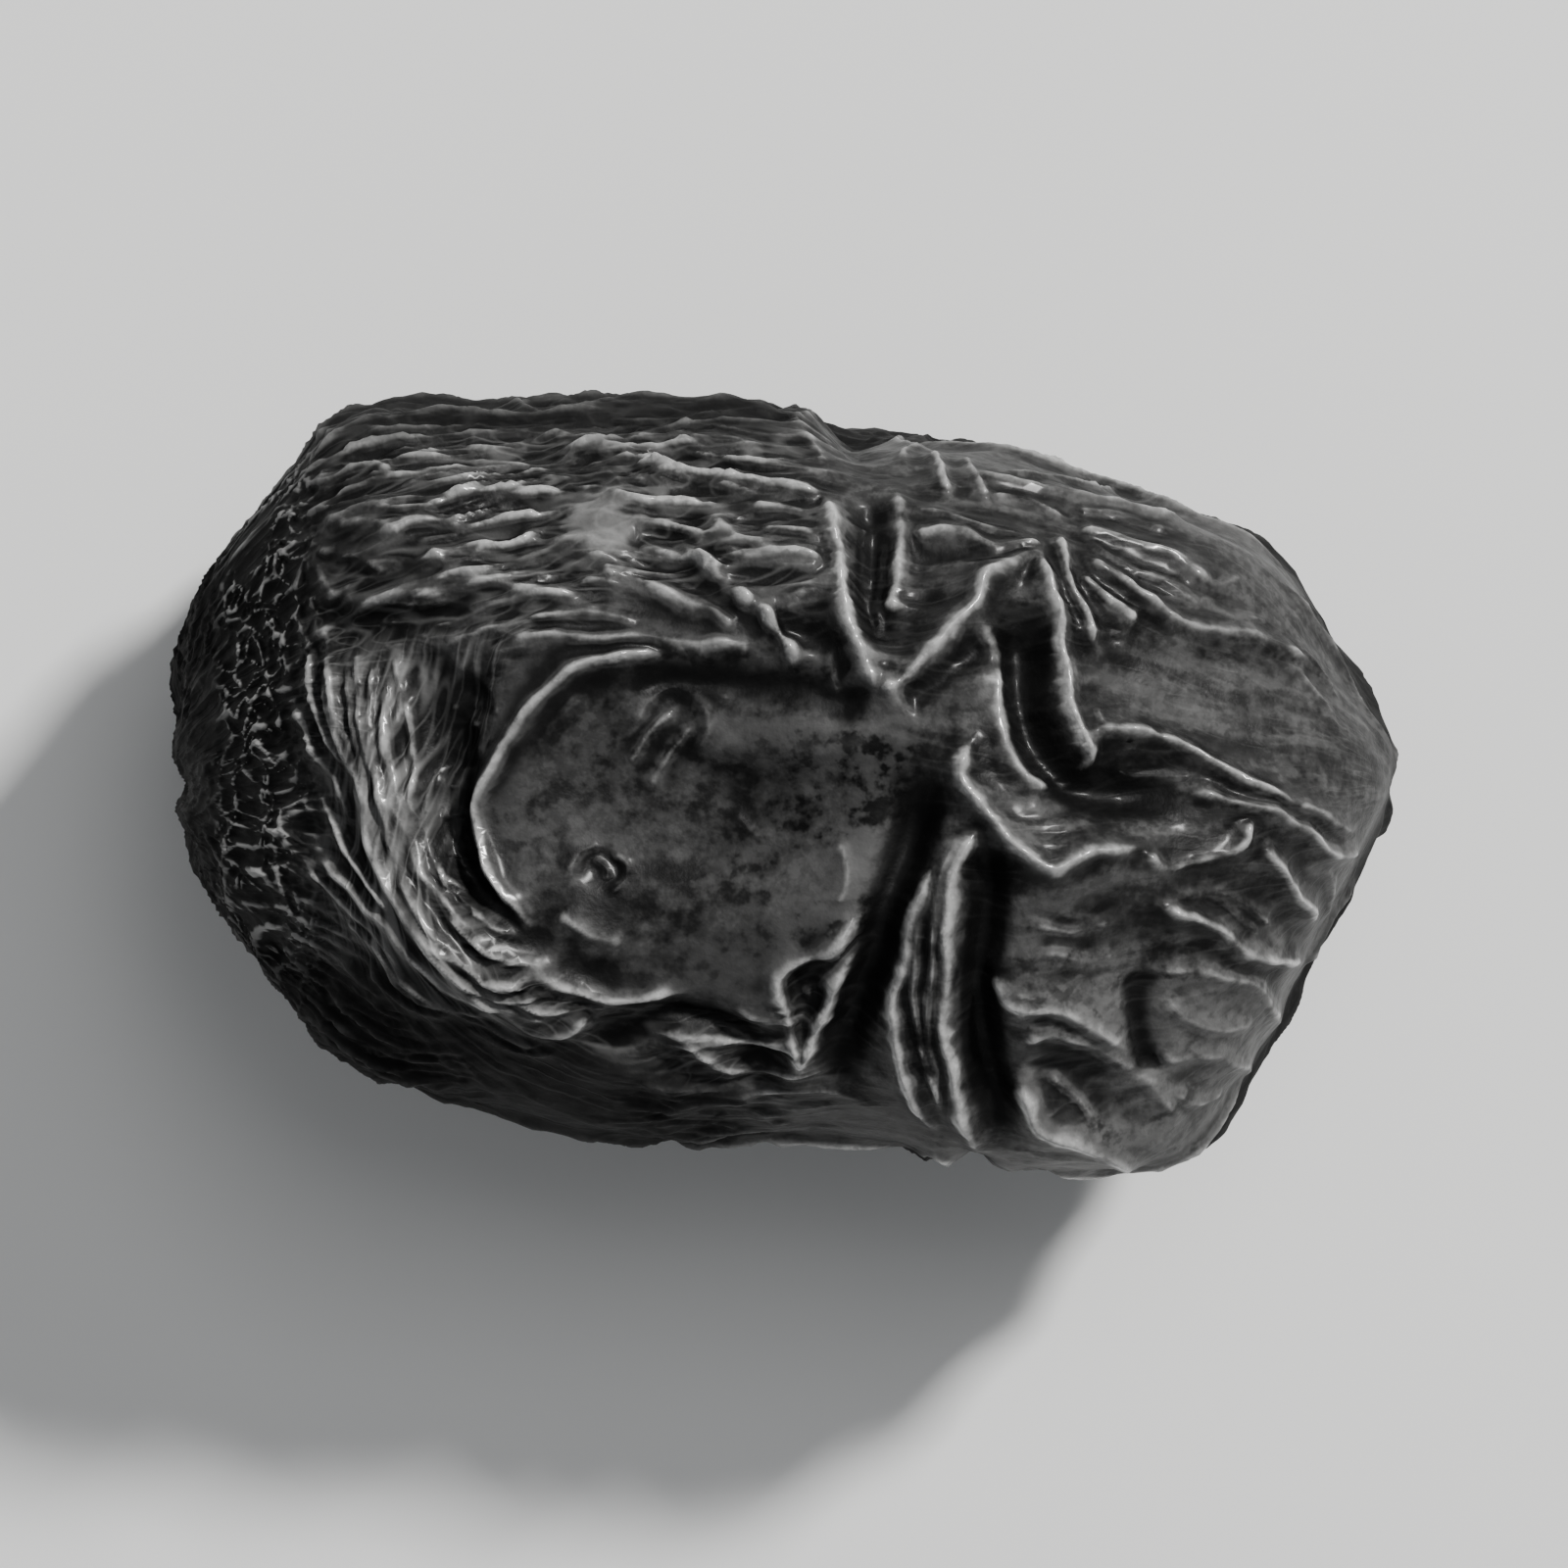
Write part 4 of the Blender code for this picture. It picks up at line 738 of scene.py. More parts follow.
# %% Fine folds: half-width, height and route, all seen from the top
FINE_FOLDS = {"top": (
    # The sheaf of lines on the upper shoulder
    (0.20, 0.20, ((-12.6, 9.0), (-11.6, 9.05), (-10.6, 8.9))),
    (0.20, 0.20, ((-8.7, 9.0), (-7.6, 8.95), (-6.8, 8.9))),
    (0.20, 0.22, ((-11.7, 8.4), (-10.8, 8.6), (-9.7, 8.5))),
    (0.22, 0.22, ((-6.1, 8.3), (-5.2, 8.5), (-4.1, 8.5), (-2.8, 8.6), (-2.0, 8.4))),
    (0.20, 0.20, ((-1.7, 8.3), (-0.6, 8.2), (0.4, 8.1), (1.5, 8.1))),
    (0.20, 0.20, ((-11.9, 7.3), (-11.1, 7.9), (-10.3, 7.8), (-9.1, 7.9), (-8.6, 8.1))),
    (0.20, 0.22, ((-9.4, 7.3), (-8.2, 7.3), (-7.1, 7.5), (-5.9, 7.2))),
    (0.20, 0.22, ((-9.0, 6.7), (-7.9, 6.9), (-6.6, 6.8))),
    (0.20, 0.20, ((-12.3, 6.9), (-11.4, 6.6), (-10.7, 6.6), (-9.9, 6.2))),
    (0.22, 0.24, ((-9.4, 6.1), (-8.3, 6.2), (-7.3, 6.1), (-6.6, 6.5))),
    (0.22, 0.24, ((-7.5, 5.4), (-6.4, 5.7), (-5.3, 5.5))),
    (0.20, 0.22, ((-8.8, 5.2), (-7.2, 5.2), (-5.9, 5.3), (-4.9, 5.1))),
    (0.20, 0.24, ((-6.9, 4.3), (-5.8, 4.3), (-4.9, 4.4), (-3.9, 4.2))),
    (0.18, 0.20, ((-2.3, 3.7), (-1.6, 3.7), (-0.9, 3.6))),
    (0.22, 0.22, ((-12.3, 6.1), (-11.4, 5.9), (-10.4, 5.5))),
    (0.20, 0.20, ((-5.7, 7.4), (-5.0, 7.45), (-4.2, 7.2), (-3.2, 7.0), (-2.2, 7.2))),
    (0.20, 0.20, ((-4.0, 6.5), (-3.0, 6.5), (-2.2, 6.3))),
    (0.20, 0.20, ((-3.9, 6.0), (-3.1, 5.9), (-2.4, 5.7))),
    (0.20, 0.22, ((-0.9, 7.0), (0.0, 7.0), (0.8, 6.7))),
    (0.20, 0.20, ((-0.7, 6.4), (0.2, 6.3), (1.0, 6.1))),
    # Parallel crests outside the bowl
    (0.16, 0.36, ((-12.6, 3.5), (-12.4, 2.4), (-11.9, 1.2), (-11.3, 0.3))),
    (0.16, 0.40, ((-11.3, 3.6), (-11.1, 2.2), (-10.8, 0.9), (-10.4, -0.4), (-10.2, -1.8))),
    (0.15, 0.38, ((-10.9, 3.2), (-10.8, 1.7), (-10.5, 0.3), (-10.1, -1.0))),
    (0.15, 0.38, ((-10.0, 2.3), (-9.8, 1.0), (-9.7, -0.6), (-9.3, -1.9), (-8.4, -2.9))),
    (0.15, 0.38, ((-12.2, -0.2), (-11.6, -1.4), (-10.9, -2.4), (-10.2, -3.3))),
    (0.15, 0.36, ((-12.6, -1.9), (-11.7, -2.9), (-10.8, -3.6), (-9.9, -4.6))),
    (0.15, 0.36, ((-9.8, -3.4), (-8.9, -4.4), (-7.7, -5.0), (-6.4, -5.0))),
    (0.15, 0.36, ((-9.0, -3.1), (-8.0, -3.9), (-6.9, -4.3), (-5.9, -4.5))),
    (0.15, 0.32, ((-7.4, -5.0), (-6.4, -5.4), (-5.4, -5.5), (-4.6, -5.6))),
    (0.15, 0.28, ((-10.0, -5.0), (-8.8, -5.7), (-7.6, -6.2), (-6.6, -6.5))),
    (0.15, 0.20, ((-8.4, -6.2), (-7.3, -6.6), (-6.2, -6.8))),
    (0.15, 0.36, ((-11.9, 3.2), (-11.7, 2.0), (-11.2, 0.8), (-10.8, -0.8), (-10.6, -2.2))),
    (0.15, 0.36, (
        (-11.5, 3.4), (-11.3, 2.0), (-10.9, 0.4), (-10.6, -1.2), (-10.3, -2.6), (-9.5, -4.0),
    )),
    (0.15, 0.34, ((-10.1, -2.2), (-9.6, -3.1), (-8.8, -3.9), (-7.9, -4.6), (-6.8, -4.9))),
    (0.15, 0.34, ((-11.6, -3.2), (-10.7, -4.1), (-9.8, -5.1), (-8.9, -5.5))),
    (0.15, 0.34, (
        (-10.3, 0.9), (-9.9, -0.4), (-9.6, -1.6), (-9.0, -2.5), (-8.0, -3.4), (-7.0, -3.9),
    )),
    (0.14, 0.32, (
        (-12.2, 3.0), (-11.9, 1.9), (-11.3, 0.5), (-11.0, -0.8), (-10.5, -2.2), (-9.7, -3.4),
    )),
    (0.14, 0.32, ((-10.7, 2.6), (-10.3, 1.2), (-10.0, -0.2), (-9.7, -1.5), (-9.1, -2.8))),
    (0.14, 0.30, ((-9.5, -3.8), (-8.6, -4.8), (-7.4, -5.3), (-6.3, -5.7))),
    (0.14, 0.28, ((-10.4, 3.4), (-10.2, 2.4), (-10.1, 1.4))),
    # The dull flank between the crests and the bowl's rim
    (0.18, 0.14, ((-9.0, 2.2), (-8.4, 1.6), (-8.3, 0.8))),
    (0.18, 0.14, ((-8.9, 3.2), (-8.0, 2.6), (-7.7, 1.9))),
    (0.18, 0.14, ((-8.8, -0.7), (-8.6, -1.6), (-8.0, -2.6))),
    # The far shoulder, past the posts
    (0.20, 0.26, ((4.1, 8.8), (4.1, 8.2), (4.3, 7.6))),
    (0.20, 0.26, ((4.9, 8.6), (5.0, 8.0), (5.3, 7.4))),
    (0.18, 0.22, ((3.3, 7.2), (4.2, 7.0), (5.2, 6.6), (6.4, 6.3))),
    (0.18, 0.20, ((5.4, 7.5), (6.4, 7.3), (7.4, 6.9))),
    (0.18, 0.20, ((5.8, 8.1), (7.2, 7.9), (8.6, 7.6), (10.0, 7.2))),
    (0.18, 0.20, ((7.7, 7.1), (8.9, 6.9), (10.2, 6.6))),
    (0.20, 0.22, ((8.0, 6.3), (8.9, 5.7), (10.2, 5.2), (11.2, 4.6))),
    (0.18, 0.20, ((10.6, 5.6), (11.4, 5.2), (12.2, 5.4))),
    (0.18, 0.18, ((11.0, 4.9), (12.0, 4.4), (13.0, 4.3))),
    (0.18, 0.18, ((13.1, 3.5), (13.8, 2.9), (14.4, 2.3), (14.8, 1.7))),
    (0.18, 0.18, ((13.7, 3.7), (14.3, 3.1), (14.8, 2.5))),
    # Small creases between the large folds of the right half
    (0.18, 0.20, ((3.1, 7.4), (3.2, 6.2), (3.1, 5.2))),
    (0.18, 0.18, ((2.1, 6.9), (2.1, 5.9), (2.3, 4.9))),
    (0.18, 0.22, ((5.5, 5.4), (6.1, 5.6), (6.7, 5.9))),
    (0.18, 0.16, ((1.3, 3.9), (1.2, 3.1), (1.4, 2.4))),
    (0.18, 0.22, ((6.9, 5.4), (7.3, 4.4), (7.9, 3.9))),
    (0.18, 0.18, ((8.4, 2.1), (8.4, 1.6), (9.0, 1.3))),
    (0.18, 0.16, ((8.9, 0.5), (9.9, 0.3), (10.9, 0.2))),
    (0.18, 0.24, ((10.4, -2.8), (11.5, -2.9), (12.6, -3.8))),
    (0.18, 0.20, ((11.0, -2.6), (12.0, -2.9), (12.9, -3.6))),
    (0.20, 0.26, ((13.3, -2.4), (13.7, -2.9), (14.1, -3.4))),
    (0.18, 0.18, ((12.7, -1.2), (13.0, -2.0), (13.0, -2.6))),
    (0.18, 0.16, ((14.3, -1.9), (14.6, -2.6), (14.5, -3.3))),
    (0.20, 0.22, ((3.6, -3.4), (4.0, -3.0), (4.2, -2.6))),
    (0.17, 0.40, ((3.6, -2.9), (3.4, -4.2), (3.45, -5.6), (3.7, -7.0), (4.3, -8.4))),
    (0.17, 0.36, ((4.5, -1.4), (4.0, -2.8), (3.85, -4.6), (3.8, -6.2), (4.1, -7.8))),
    (0.17, 0.24, ((1.9, 6.9), (1.8, 5.6), (2.0, 4.3), (2.3, 3.2))),
    (0.17, 0.22, ((2.6, 6.6), (2.5, 5.4), (2.4, 4.0))),
    (0.17, 0.24, ((3.2, 3.0), (4.2, 4.1), (5.0, 5.0), (6.1, 5.5))),
    (0.17, 0.26, ((7.0, 5.6), (7.35, 4.5), (7.6, 3.2), (7.8, 2.0))),
    (0.17, 0.22, ((8.4, 1.0), (9.6, 1.05), (10.7, 0.7), (11.9, 0.0))),
    (0.17, 0.24, ((12.0, -0.35), (13.2, -1.05), (14.3, -1.4), (15.2, -1.4))),
    (0.17, 0.22, ((5.2, -0.1), (6.0, -0.95), (7.0, -1.6), (8.0, -1.3))),
    (0.18, 0.20, ((0.4, -5.2), (0.7, -5.7), (1.0, -5.2), (1.2, -4.8))),
    (0.18, 0.16, ((6.6, -3.6), (7.6, -3.9), (8.8, -3.6))),
    (0.18, 0.14, ((6.8, -4.3), (7.9, -4.6), (8.9, -4.4))),
    (0.18, 0.20, ((6.0, -5.3), (7.0, -5.5), (8.2, -6.2))),
    (0.18, 0.18, ((7.0, -7.6), (7.9, -8.2), (8.3, -8.9))),
    (0.18, 0.18, ((10.0, -5.3), (10.6, -5.9), (11.6, -6.2), (12.4, -6.0))),
    (0.18, 0.16, ((10.2, -7.9), (11.0, -8.2), (11.7, -8.0))),
    (0.18, 0.16, ((1.4, -1.4), (1.6, -2.4), (1.4, -3.2))),
    # Faint creases in the bowl: a curl, some round a small pit, and short ones near the rim
    (0.20, 0.15, ((-4.2, 1.4), (-3.7, 2.3), (-3.0, 2.7), (-2.3, 2.3), (-2.1, 1.5), (-2.5, 0.8))),
    (0.15, 0.17, ((-4.1, 0.6), (-3.7, 1.4), (-3.0, 2.1))),
    (0.15, 0.17, ((-3.6, 0.0), (-3.1, 0.8), (-2.5, 1.7))),
    (0.15, 0.13, ((-2.8, 2.3), (-2.2, 2.6), (-1.5, 2.4))),
    (0.16, 0.11, ((-5.9, -2.3), (-5.5, -1.7), (-5.0, -1.6))),
    (0.15, 0.16, ((-5.2, -1.9), (-4.85, -2.3), (-4.8, -2.7))),
    (0.15, 0.14, ((-4.6, -1.7), (-4.3, -2.2), (-4.35, -2.7), (-4.7, -3.1))),
    (0.18, 0.10, ((-6.6, 0.9), (-6.1, 1.8), (-5.3, 2.4))),
    (0.18, 0.10, ((-1.4, -0.6), (-0.7, -1.2), (0.1, -1.0))),
    (0.18, 0.12, ((-6.2, -3.5), (-5.4, -3.6), (-4.6, -4.1), (-3.6, -4.2))),
)}
FINE_WINDING = 0.12

fine_folds = folds(body, FINE_FOLDS, FINE_WINDING)
print(len(FINE_FOLDS["top"]), "fine folds, up to", fine_folds.max().round(2), "mm high")

# %% [markdown]
# ## Beads, fine wrinkles, crackle and grain
#
# The skin's smallest relief has no order worth drawing. On the shoulder stand a few shiny beads.
# Wrinkles 0.7 and 0.4 mm apart cover the shoulders and sides, the stem end has crackled into cells
# under a millimetre wide, and the whole skin is faintly lumpy, so that its gloss breaks up.

# %% Fine relief without an order
BEADS = (
    ((-2.8, 4.75), (0.70, 0.32), -20, 0.16),
    ((-2.1, 5.45), (0.40, 0.22), -38, 0.24),
    ((-1.15, 4.65), (0.28, 0.24), -30, 0.26),
    ((-0.4, 4.2), (0.28, 0.22), -40, 0.24),
    ((0.15, 3.6), (0.22, 0.34), 0, 0.18),
    ((-4.9, -2.4), (0.75, 0.60), -30, -0.16),
    ((-10.4, 1.4), (0.30, 0.80), -20, 0.12),
    ((-6.2, -5.7), (0.90, 0.50), -20, 0.18),
    ((9.4, 1.4), (0.40, 0.28), 0, 0.14),
    ((8.4, 1.4), (0.28, 0.35), 0, 0.10),
)
# Where the fine wrinkles are lower: a round swelling on the shoulder
SMOOTH_SPOTS = (
    ((-4.85, 6.6), (1.15, 0.85), 0, -0.85),
)
# Each size of fine wrinkles: height, spacing, length, seed, and how much calmer the tip is
FINE_WRINKLES = (
    (0.22, 0.68, 3.6, 71, 0.80),
    (0.14, 0.36, 2.3, 83, 0.85),
)
# The shares by which they are lower at the stem end, on the rings and underneath
STEM_CALM = 0.7
RING_CALM = 0.55
UNDER_CALM = 0.5
CRACKLE_SEED = 43
CRACKLE_SPACING = 0.78
CRACKLE_WIDTH = 0.10
CRACKLE_HEIGHT = 0.13
CRACKLE_SINKING = 0.2
STRAND_HEIGHT = 0.8
# Each size of lumps: height, spacing and seed
LUMPS = ((0.045, 1.1, 57), (0.018, 0.45, 58))


def crackle(points):
    """The higher of e^(-edge/width) on small, warped cells and (1 - |noise|)², at the stem end."""
    warped = drift(drift(points, 1.2, 0.45, CRACKLE_SEED), 0.5, 0.16, CRACKLE_SEED + 20)
    edge = cell_edges(warped, CRACKLE_SPACING, 1.2, CRACKLE_SEED)
    strength = 0.45 + 0.55 * smoothstep(-0.5, 0.3, noise(points / 0.9, CRACKLE_SEED + 4))
    level = noise(warped / np.array([1.4, 0.7, 0.7]), CRACKLE_SEED + 6)
    strand = (1.0 - np.minimum(np.abs(level) * 6.0, 1.0)) ** 2
    share = smoothstep(-11.6, -12.8, points[:, 0])
    share *= smoothstep(-0.7, 0.0, noise(points / 2.2, CRACKLE_SEED + 2))
    higher = np.maximum(strength * np.exp(-edge / CRACKLE_WIDTH), STRAND_HEIGHT * strand)
    return CRACKLE_HEIGHT * share * (higher - CRACKLE_SINKING)


fine_wrinkles = sum(height * wrinkles(body, *wrinkle) for height, *wrinkle in FINE_WRINKLES)
stem_end = smoothstep(-11.8, -13.4, body[:, 0])
underside = smoothstep(-1.0, -4.0, body[:, 2])
fine_wrinkles *= (1.0 - STEM_CALM * stem_end) * (1.0 + hollows(body, SMOOTH_SPOTS))
fine_wrinkles *= (1.0 - RING_CALM * ring_share) * (1.0 - UNDER_CALM * underside)
lumps = sum(height * noise(body / spacing, seed) for height, spacing, seed in LUMPS)
small_relief = hollows(body, BEADS) + crackle(body) + lumps
print("fine wrinkles up to", fine_wrinkles.max().round(2), "mm")

# %% [markdown]
# ## All of the relief together
#
# The layers add up. Each has its place: the net belongs to the underside, and everything fades out
# round the spot that the fruit rests on, where a low swell is pressed level by its weight.

# %% Sum of the layers
REST_RADIUS = 3.4
REST_STRETCH = 1.25
REST_SWELL = 0.55
# The shares of the net and of the coarse wrinkles that are left outside their place
NET_ABOVE = 0.12
NET_AT_ENDS = 0.35
WRINKLES_AT_ENDS = 0.5

x, y, z = body.T
under = NET_ABOVE + (1.0 - NET_ABOVE) * smoothstep(-2.5, -7.0, z)
between_ends = smoothstep(15.9, 13.5, np.abs(x))
relief = main_hollows + main_furrows + stem_scar
relief += (main_folds**4 + fine_folds**4) ** 0.25
relief += under * (NET_AT_ENDS + (1.0 - NET_AT_ENDS) * between_ends) * side_net
relief += (WRINKLES_AT_ENDS + (1.0 - WRINKLES_AT_ENDS) * between_ends) * coarse_wrinkles
relief += fine_wrinkles + small_relief
below = smoothstep(-2.0, -6.0, z)
from_rest = np.hypot(x / REST_STRETCH, y)
resting = below * smoothstep(2.2 * REST_RADIUS, 0.8 * REST_RADIUS, from_rest)
swell = REST_SWELL * below * np.exp(-((from_rest / REST_RADIUS) ** 2))
relief = relief * (1.0 - resting) + swell
print("relief from", relief.min().round(2), "to", relief.max().round(2), "mm")

# %% [markdown]
# ## The skin as a mesh
#
# The body is pushed out along its own normals by the relief, and the result is brought into the CAD
# model's box. What would go below the floor is pressed up to it, which makes the flat spot.
#
# Three numbers are kept at each point for the finish: how far it stands above the skin within a
# fifth of a millimetre of it, which is high on the sharpest crests, the same within half a
# millimetre, and the same within more than one, which is low in hollows. To blur the relief over
# such distances, it is taken apart into waves and the short ones are damped.

# %% Place the points and measure the crests
GRID_STEP = 0.07
CREST_REACH = 0.20
RIDGE_REACH = 0.46
HOLLOW_REACH = 1.25


def standing_out(values, reach):
    """The values less a copy whose waves are damped by e^(-2 (pi reach / wavelength)²)."""
    grid = values[:-2].reshape(ALONG - 1, AROUND)
    mirrored = np.vstack([grid, grid[::-1]])
    along, around = (np.fft.fftfreq(count) / GRID_STEP for count in mirrored.shape)
    per_mm = np.hypot(along[:, None], around)
    damped = np.fft.fft2(mirrored) * np.exp(-2.0 * (np.pi * reach * per_mm) ** 2)
    blurred = np.fft.ifft2(damped).real[: len(grid)]
    return np.concatenate([(grid - blurred).ravel(), [0.0, 0.0]])


points = body + body_normals * relief[:, None]
faces = grid_faces(points)
low, high = points.min(0), points.max(0)
floor_low = np.array([cad_low[0], cad_low[1], -FLAT_DEPTH])
points = floor_low + (points - low) * (cad_high - floor_low) / (high - low)
points[:, 2] = np.maximum(points[:, 2], 0.0)
crest = standing_out(relief, CREST_REACH)
ridge = standing_out(relief, RIDGE_REACH)
hollow = standing_out(relief + main_furrows, HOLLOW_REACH)
print("skin box, mm:", points.min(0).round(2), "to", points.max(0).round(2))
for name, values in (("crest", crest), ("ridge", ridge), ("hollow", hollow)):
    print(name, np.percentile(values, [1, 25, 75, 99]).round(3))

# %% [markdown]
# The grid has about three times as many triangles as one piece may have. Blender's Decimate
# modifier merges the edges that change the shape least, so that what is left lies along the crests,
# and its result is kept as a plain mesh. The numbers for the finish ride along as attributes: the
# three above, the depth of the furrows, the smooth spot, and the two courses with their shares.

# %% Make the mesh, and thin it out
MOST_TRIANGLES = 198000
COURSE_SEED = 97

full = bpy.data.meshes.new("full_grid")
full.from_pydata((points * MM).tolist(), [], faces.tolist())
lengthwise, run_share, ringwise, ring_share = courses(body, COURSE_SEED)
numbers = {
    "crest": crest, "ridge": ridge, "hollow": hollow, "furrow": furrow,
    "smooth": -hollows(body, SMOOTH_SPOTS), "run_share": run_share, "ring_share": ring_share,
}
for name, values in numbers.items():
    layer = full.attributes.new(name, "FLOAT", "POINT")
    layer.data.foreach_set("value", values.astype(np.float32))
for name, places in (("lengthwise", lengthwise), ("ringwise", ringwise)):
    layer = full.attributes.new(name, "FLOAT_VECTOR", "POINT")
    layer.data.foreach_set("vector", (places * MM).astype(np.float32).ravel())

skin = bpy.data.objects.new("date_skin_fine", full)
bpy.context.scene.collection.objects.link(skin)
fewer = skin.modifiers.new("Fewer triangles", "DECIMATE")
fewer.ratio = MOST_TRIANGLES / len(faces)
thinned = skin.evaluated_get(bpy.context.evaluated_depsgraph_get())
mesh = bpy.data.meshes.new_from_object(thinned)
mesh.name = "date_skin_fine"
skin.modifiers.remove(fewer)
skin.data = mesh
bpy.data.meshes.remove(full)
mesh.shade_smooth()
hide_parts("date_fruit")
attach(skin, "root")
print("thinned from", len(faces), "to", len(mesh.polygons), "triangles")

# %% [markdown]
# ## Shader maths as plain Python
#
# A material's numbers are worked out by chains of Math nodes, which are hard to read as node calls.
# A small class stands for one socket and turns +, -, * and / into those nodes. Every other node
# comes from one method, which sets the node's own settings first and then its sockets.

# %% Wires and nodes
class Wire:
    """One output socket. Arithmetic on it, also with a number on the left, adds a Math node."""

    def __init__(self, nodes, socket):
        self.nodes = nodes
        self.socket = socket

    def maths(self, operation, first, second):
        return self.nodes.add("ShaderNodeMath", {"operation": operation}, {0: first, 1: second})

    def __add__(self, other):
        return self.maths("ADD", self, other)

    def __sub__(self, other):
        return self.maths("SUBTRACT", self, other)

    def __rsub__(self, other):
        return self.maths("SUBTRACT", other, self)

    def __mul__(self, other):
        return self.maths("MULTIPLY", self, other)

    __radd__ = __add__
    __rmul__ = __mul__


class Nodes:
    """The node tree of one material."""

    def __init__(self, material):
        material.use_nodes = True
        self.tree = material.node_tree

    def add(self, kind, settings=None, sockets=None, output=0):
        """Adds a node, sets its settings and then its sockets, and returns one output as a Wire."""
        node = self.tree.nodes.new(kind)
        for name, value in (settings or {}).items():
            setattr(node, name, value)
        self.fill(node, sockets or {})
        return Wire(self, node.outputs[output])

    def fill(self, node, sockets):
        """Links a socket where a Wire is given, and sets its value otherwise."""
        for name, value in sockets.items():
            if isinstance(value, Wire):
                self.tree.links.new(value.socket, node.inputs[name])
            else:
                node.inputs[name].default_value = value

    def ramp(self, value, low, high, start=0.0, end=1.0):
        """start below low, end above high, and a smooth S between."""
        sockets = {
            "Value": value, "From Min": low, "From Max": high, "To Min": start, "To Max": end,
        }
        return self.add("ShaderNodeMapRange", {"interpolation_type": "SMOOTHSTEP"}, sockets)

    def ramps(self, *rows):
        """The product of one ramp for each row."""
        total = self.ramp(*rows[0])
        for row in rows[1:]:
            total = total * self.ramp(*row)
        return total

    def grain(self, place, size, detail=2.0, roughness=0.5):
        """Noise from 0 to 1 whose lumps are size millimetres across."""
        sockets = {
            "Vector": place, "Scale": 1.0 / (size * MM), "Detail": detail, "Roughness": roughness,
        }
        return self.add("ShaderNodeTexNoise", {}, sockets, "Fac")

    def blend(self, share, first, second):
        """The first colour where share is 0, and the second where it is 1."""
        settings = {"data_type": "RGBA", "clamp_factor": True}
        return self.add("ShaderNodeMix", settings, {0: share, 6: first, 7: second}, 2)


print("Wire adds Math nodes; Nodes adds everything else")

# %% [markdown]
# ## The waxy black skin
#
# An ajwa's skin is almost black. Wax has come out of it and has been rubbed on the crests, so they
# are lighter and shine, and their light grey is also a painted highlight. The valleys keep a dull,
# dusty film and are painted darker, as painted shade; the lower left side, a band low on the sides,
# the far edge and the stem end are painted black, as painted shade. The bowl is mottled, the facets
# of the tip have streaks of painted sheen, and the lower tip and the rings get painted light.
# The numbers kept at each point steer the colour, the roughness and a coat of gloss. On top come
# lines finer than the mesh can hold: the thin bands where a noise is near its middle value, with
# the noise laid along the two courses of the wrinkles.

# %% Skin material
# BLACK is the colour of the black patches and of all the painted shade
BLACK = (0.0025, 0.0025, 0.0025, 1.0)
DARK = (0.0090, 0.0089, 0.0088, 1.0)
SATIN = (0.0230, 0.0228, 0.0226, 1.0)
FILM = (0.0520, 0.0518, 0.0515, 1.0)
# The light grey of wax on the crests, which is also their painted highlight
WAX_AND_HIGHLIGHT = (0.38, 0.38, 0.375, 1.0)


def number(nodes, name):
    """The number of that name kept at each point of the skin."""
    return nodes.add("ShaderNodeAttribute", {"attribute_name": name}, output="Fac")


def streaks(nodes, course, size, stretch, detail):
    """Noise from 0 to 1, drawn out along a course."""
    place = nodes.add("ShaderNodeAttribute", {"attribute_name": course}, output="Vector")
    place = nodes.add("ShaderNodeMapping", {}, {"Vector": place, "Scale": stretch})
    return nodes.grain(place, size, detail)


def strands(nodes, course, size, stretch, detail=0.0):
    """1 on the lines where such noise is 0.5, and 0 from 0.07 away from it."""
    level = streaks(nodes, course, size, stretch, detail) - 0.5
    return nodes.ramp(level.maths("ABSOLUTE", level, 0.0), 0.07, 0.0)


def either(*shares):
    """1 - (1 - a)(1 - b)... over the shares: 1 where any of them is 1, and 0 where all are 0."""
    left = 1.0 - shares[0]
    for share in shares[1:]:
        left = left * (1.0 - share)
    return 1.0 - left


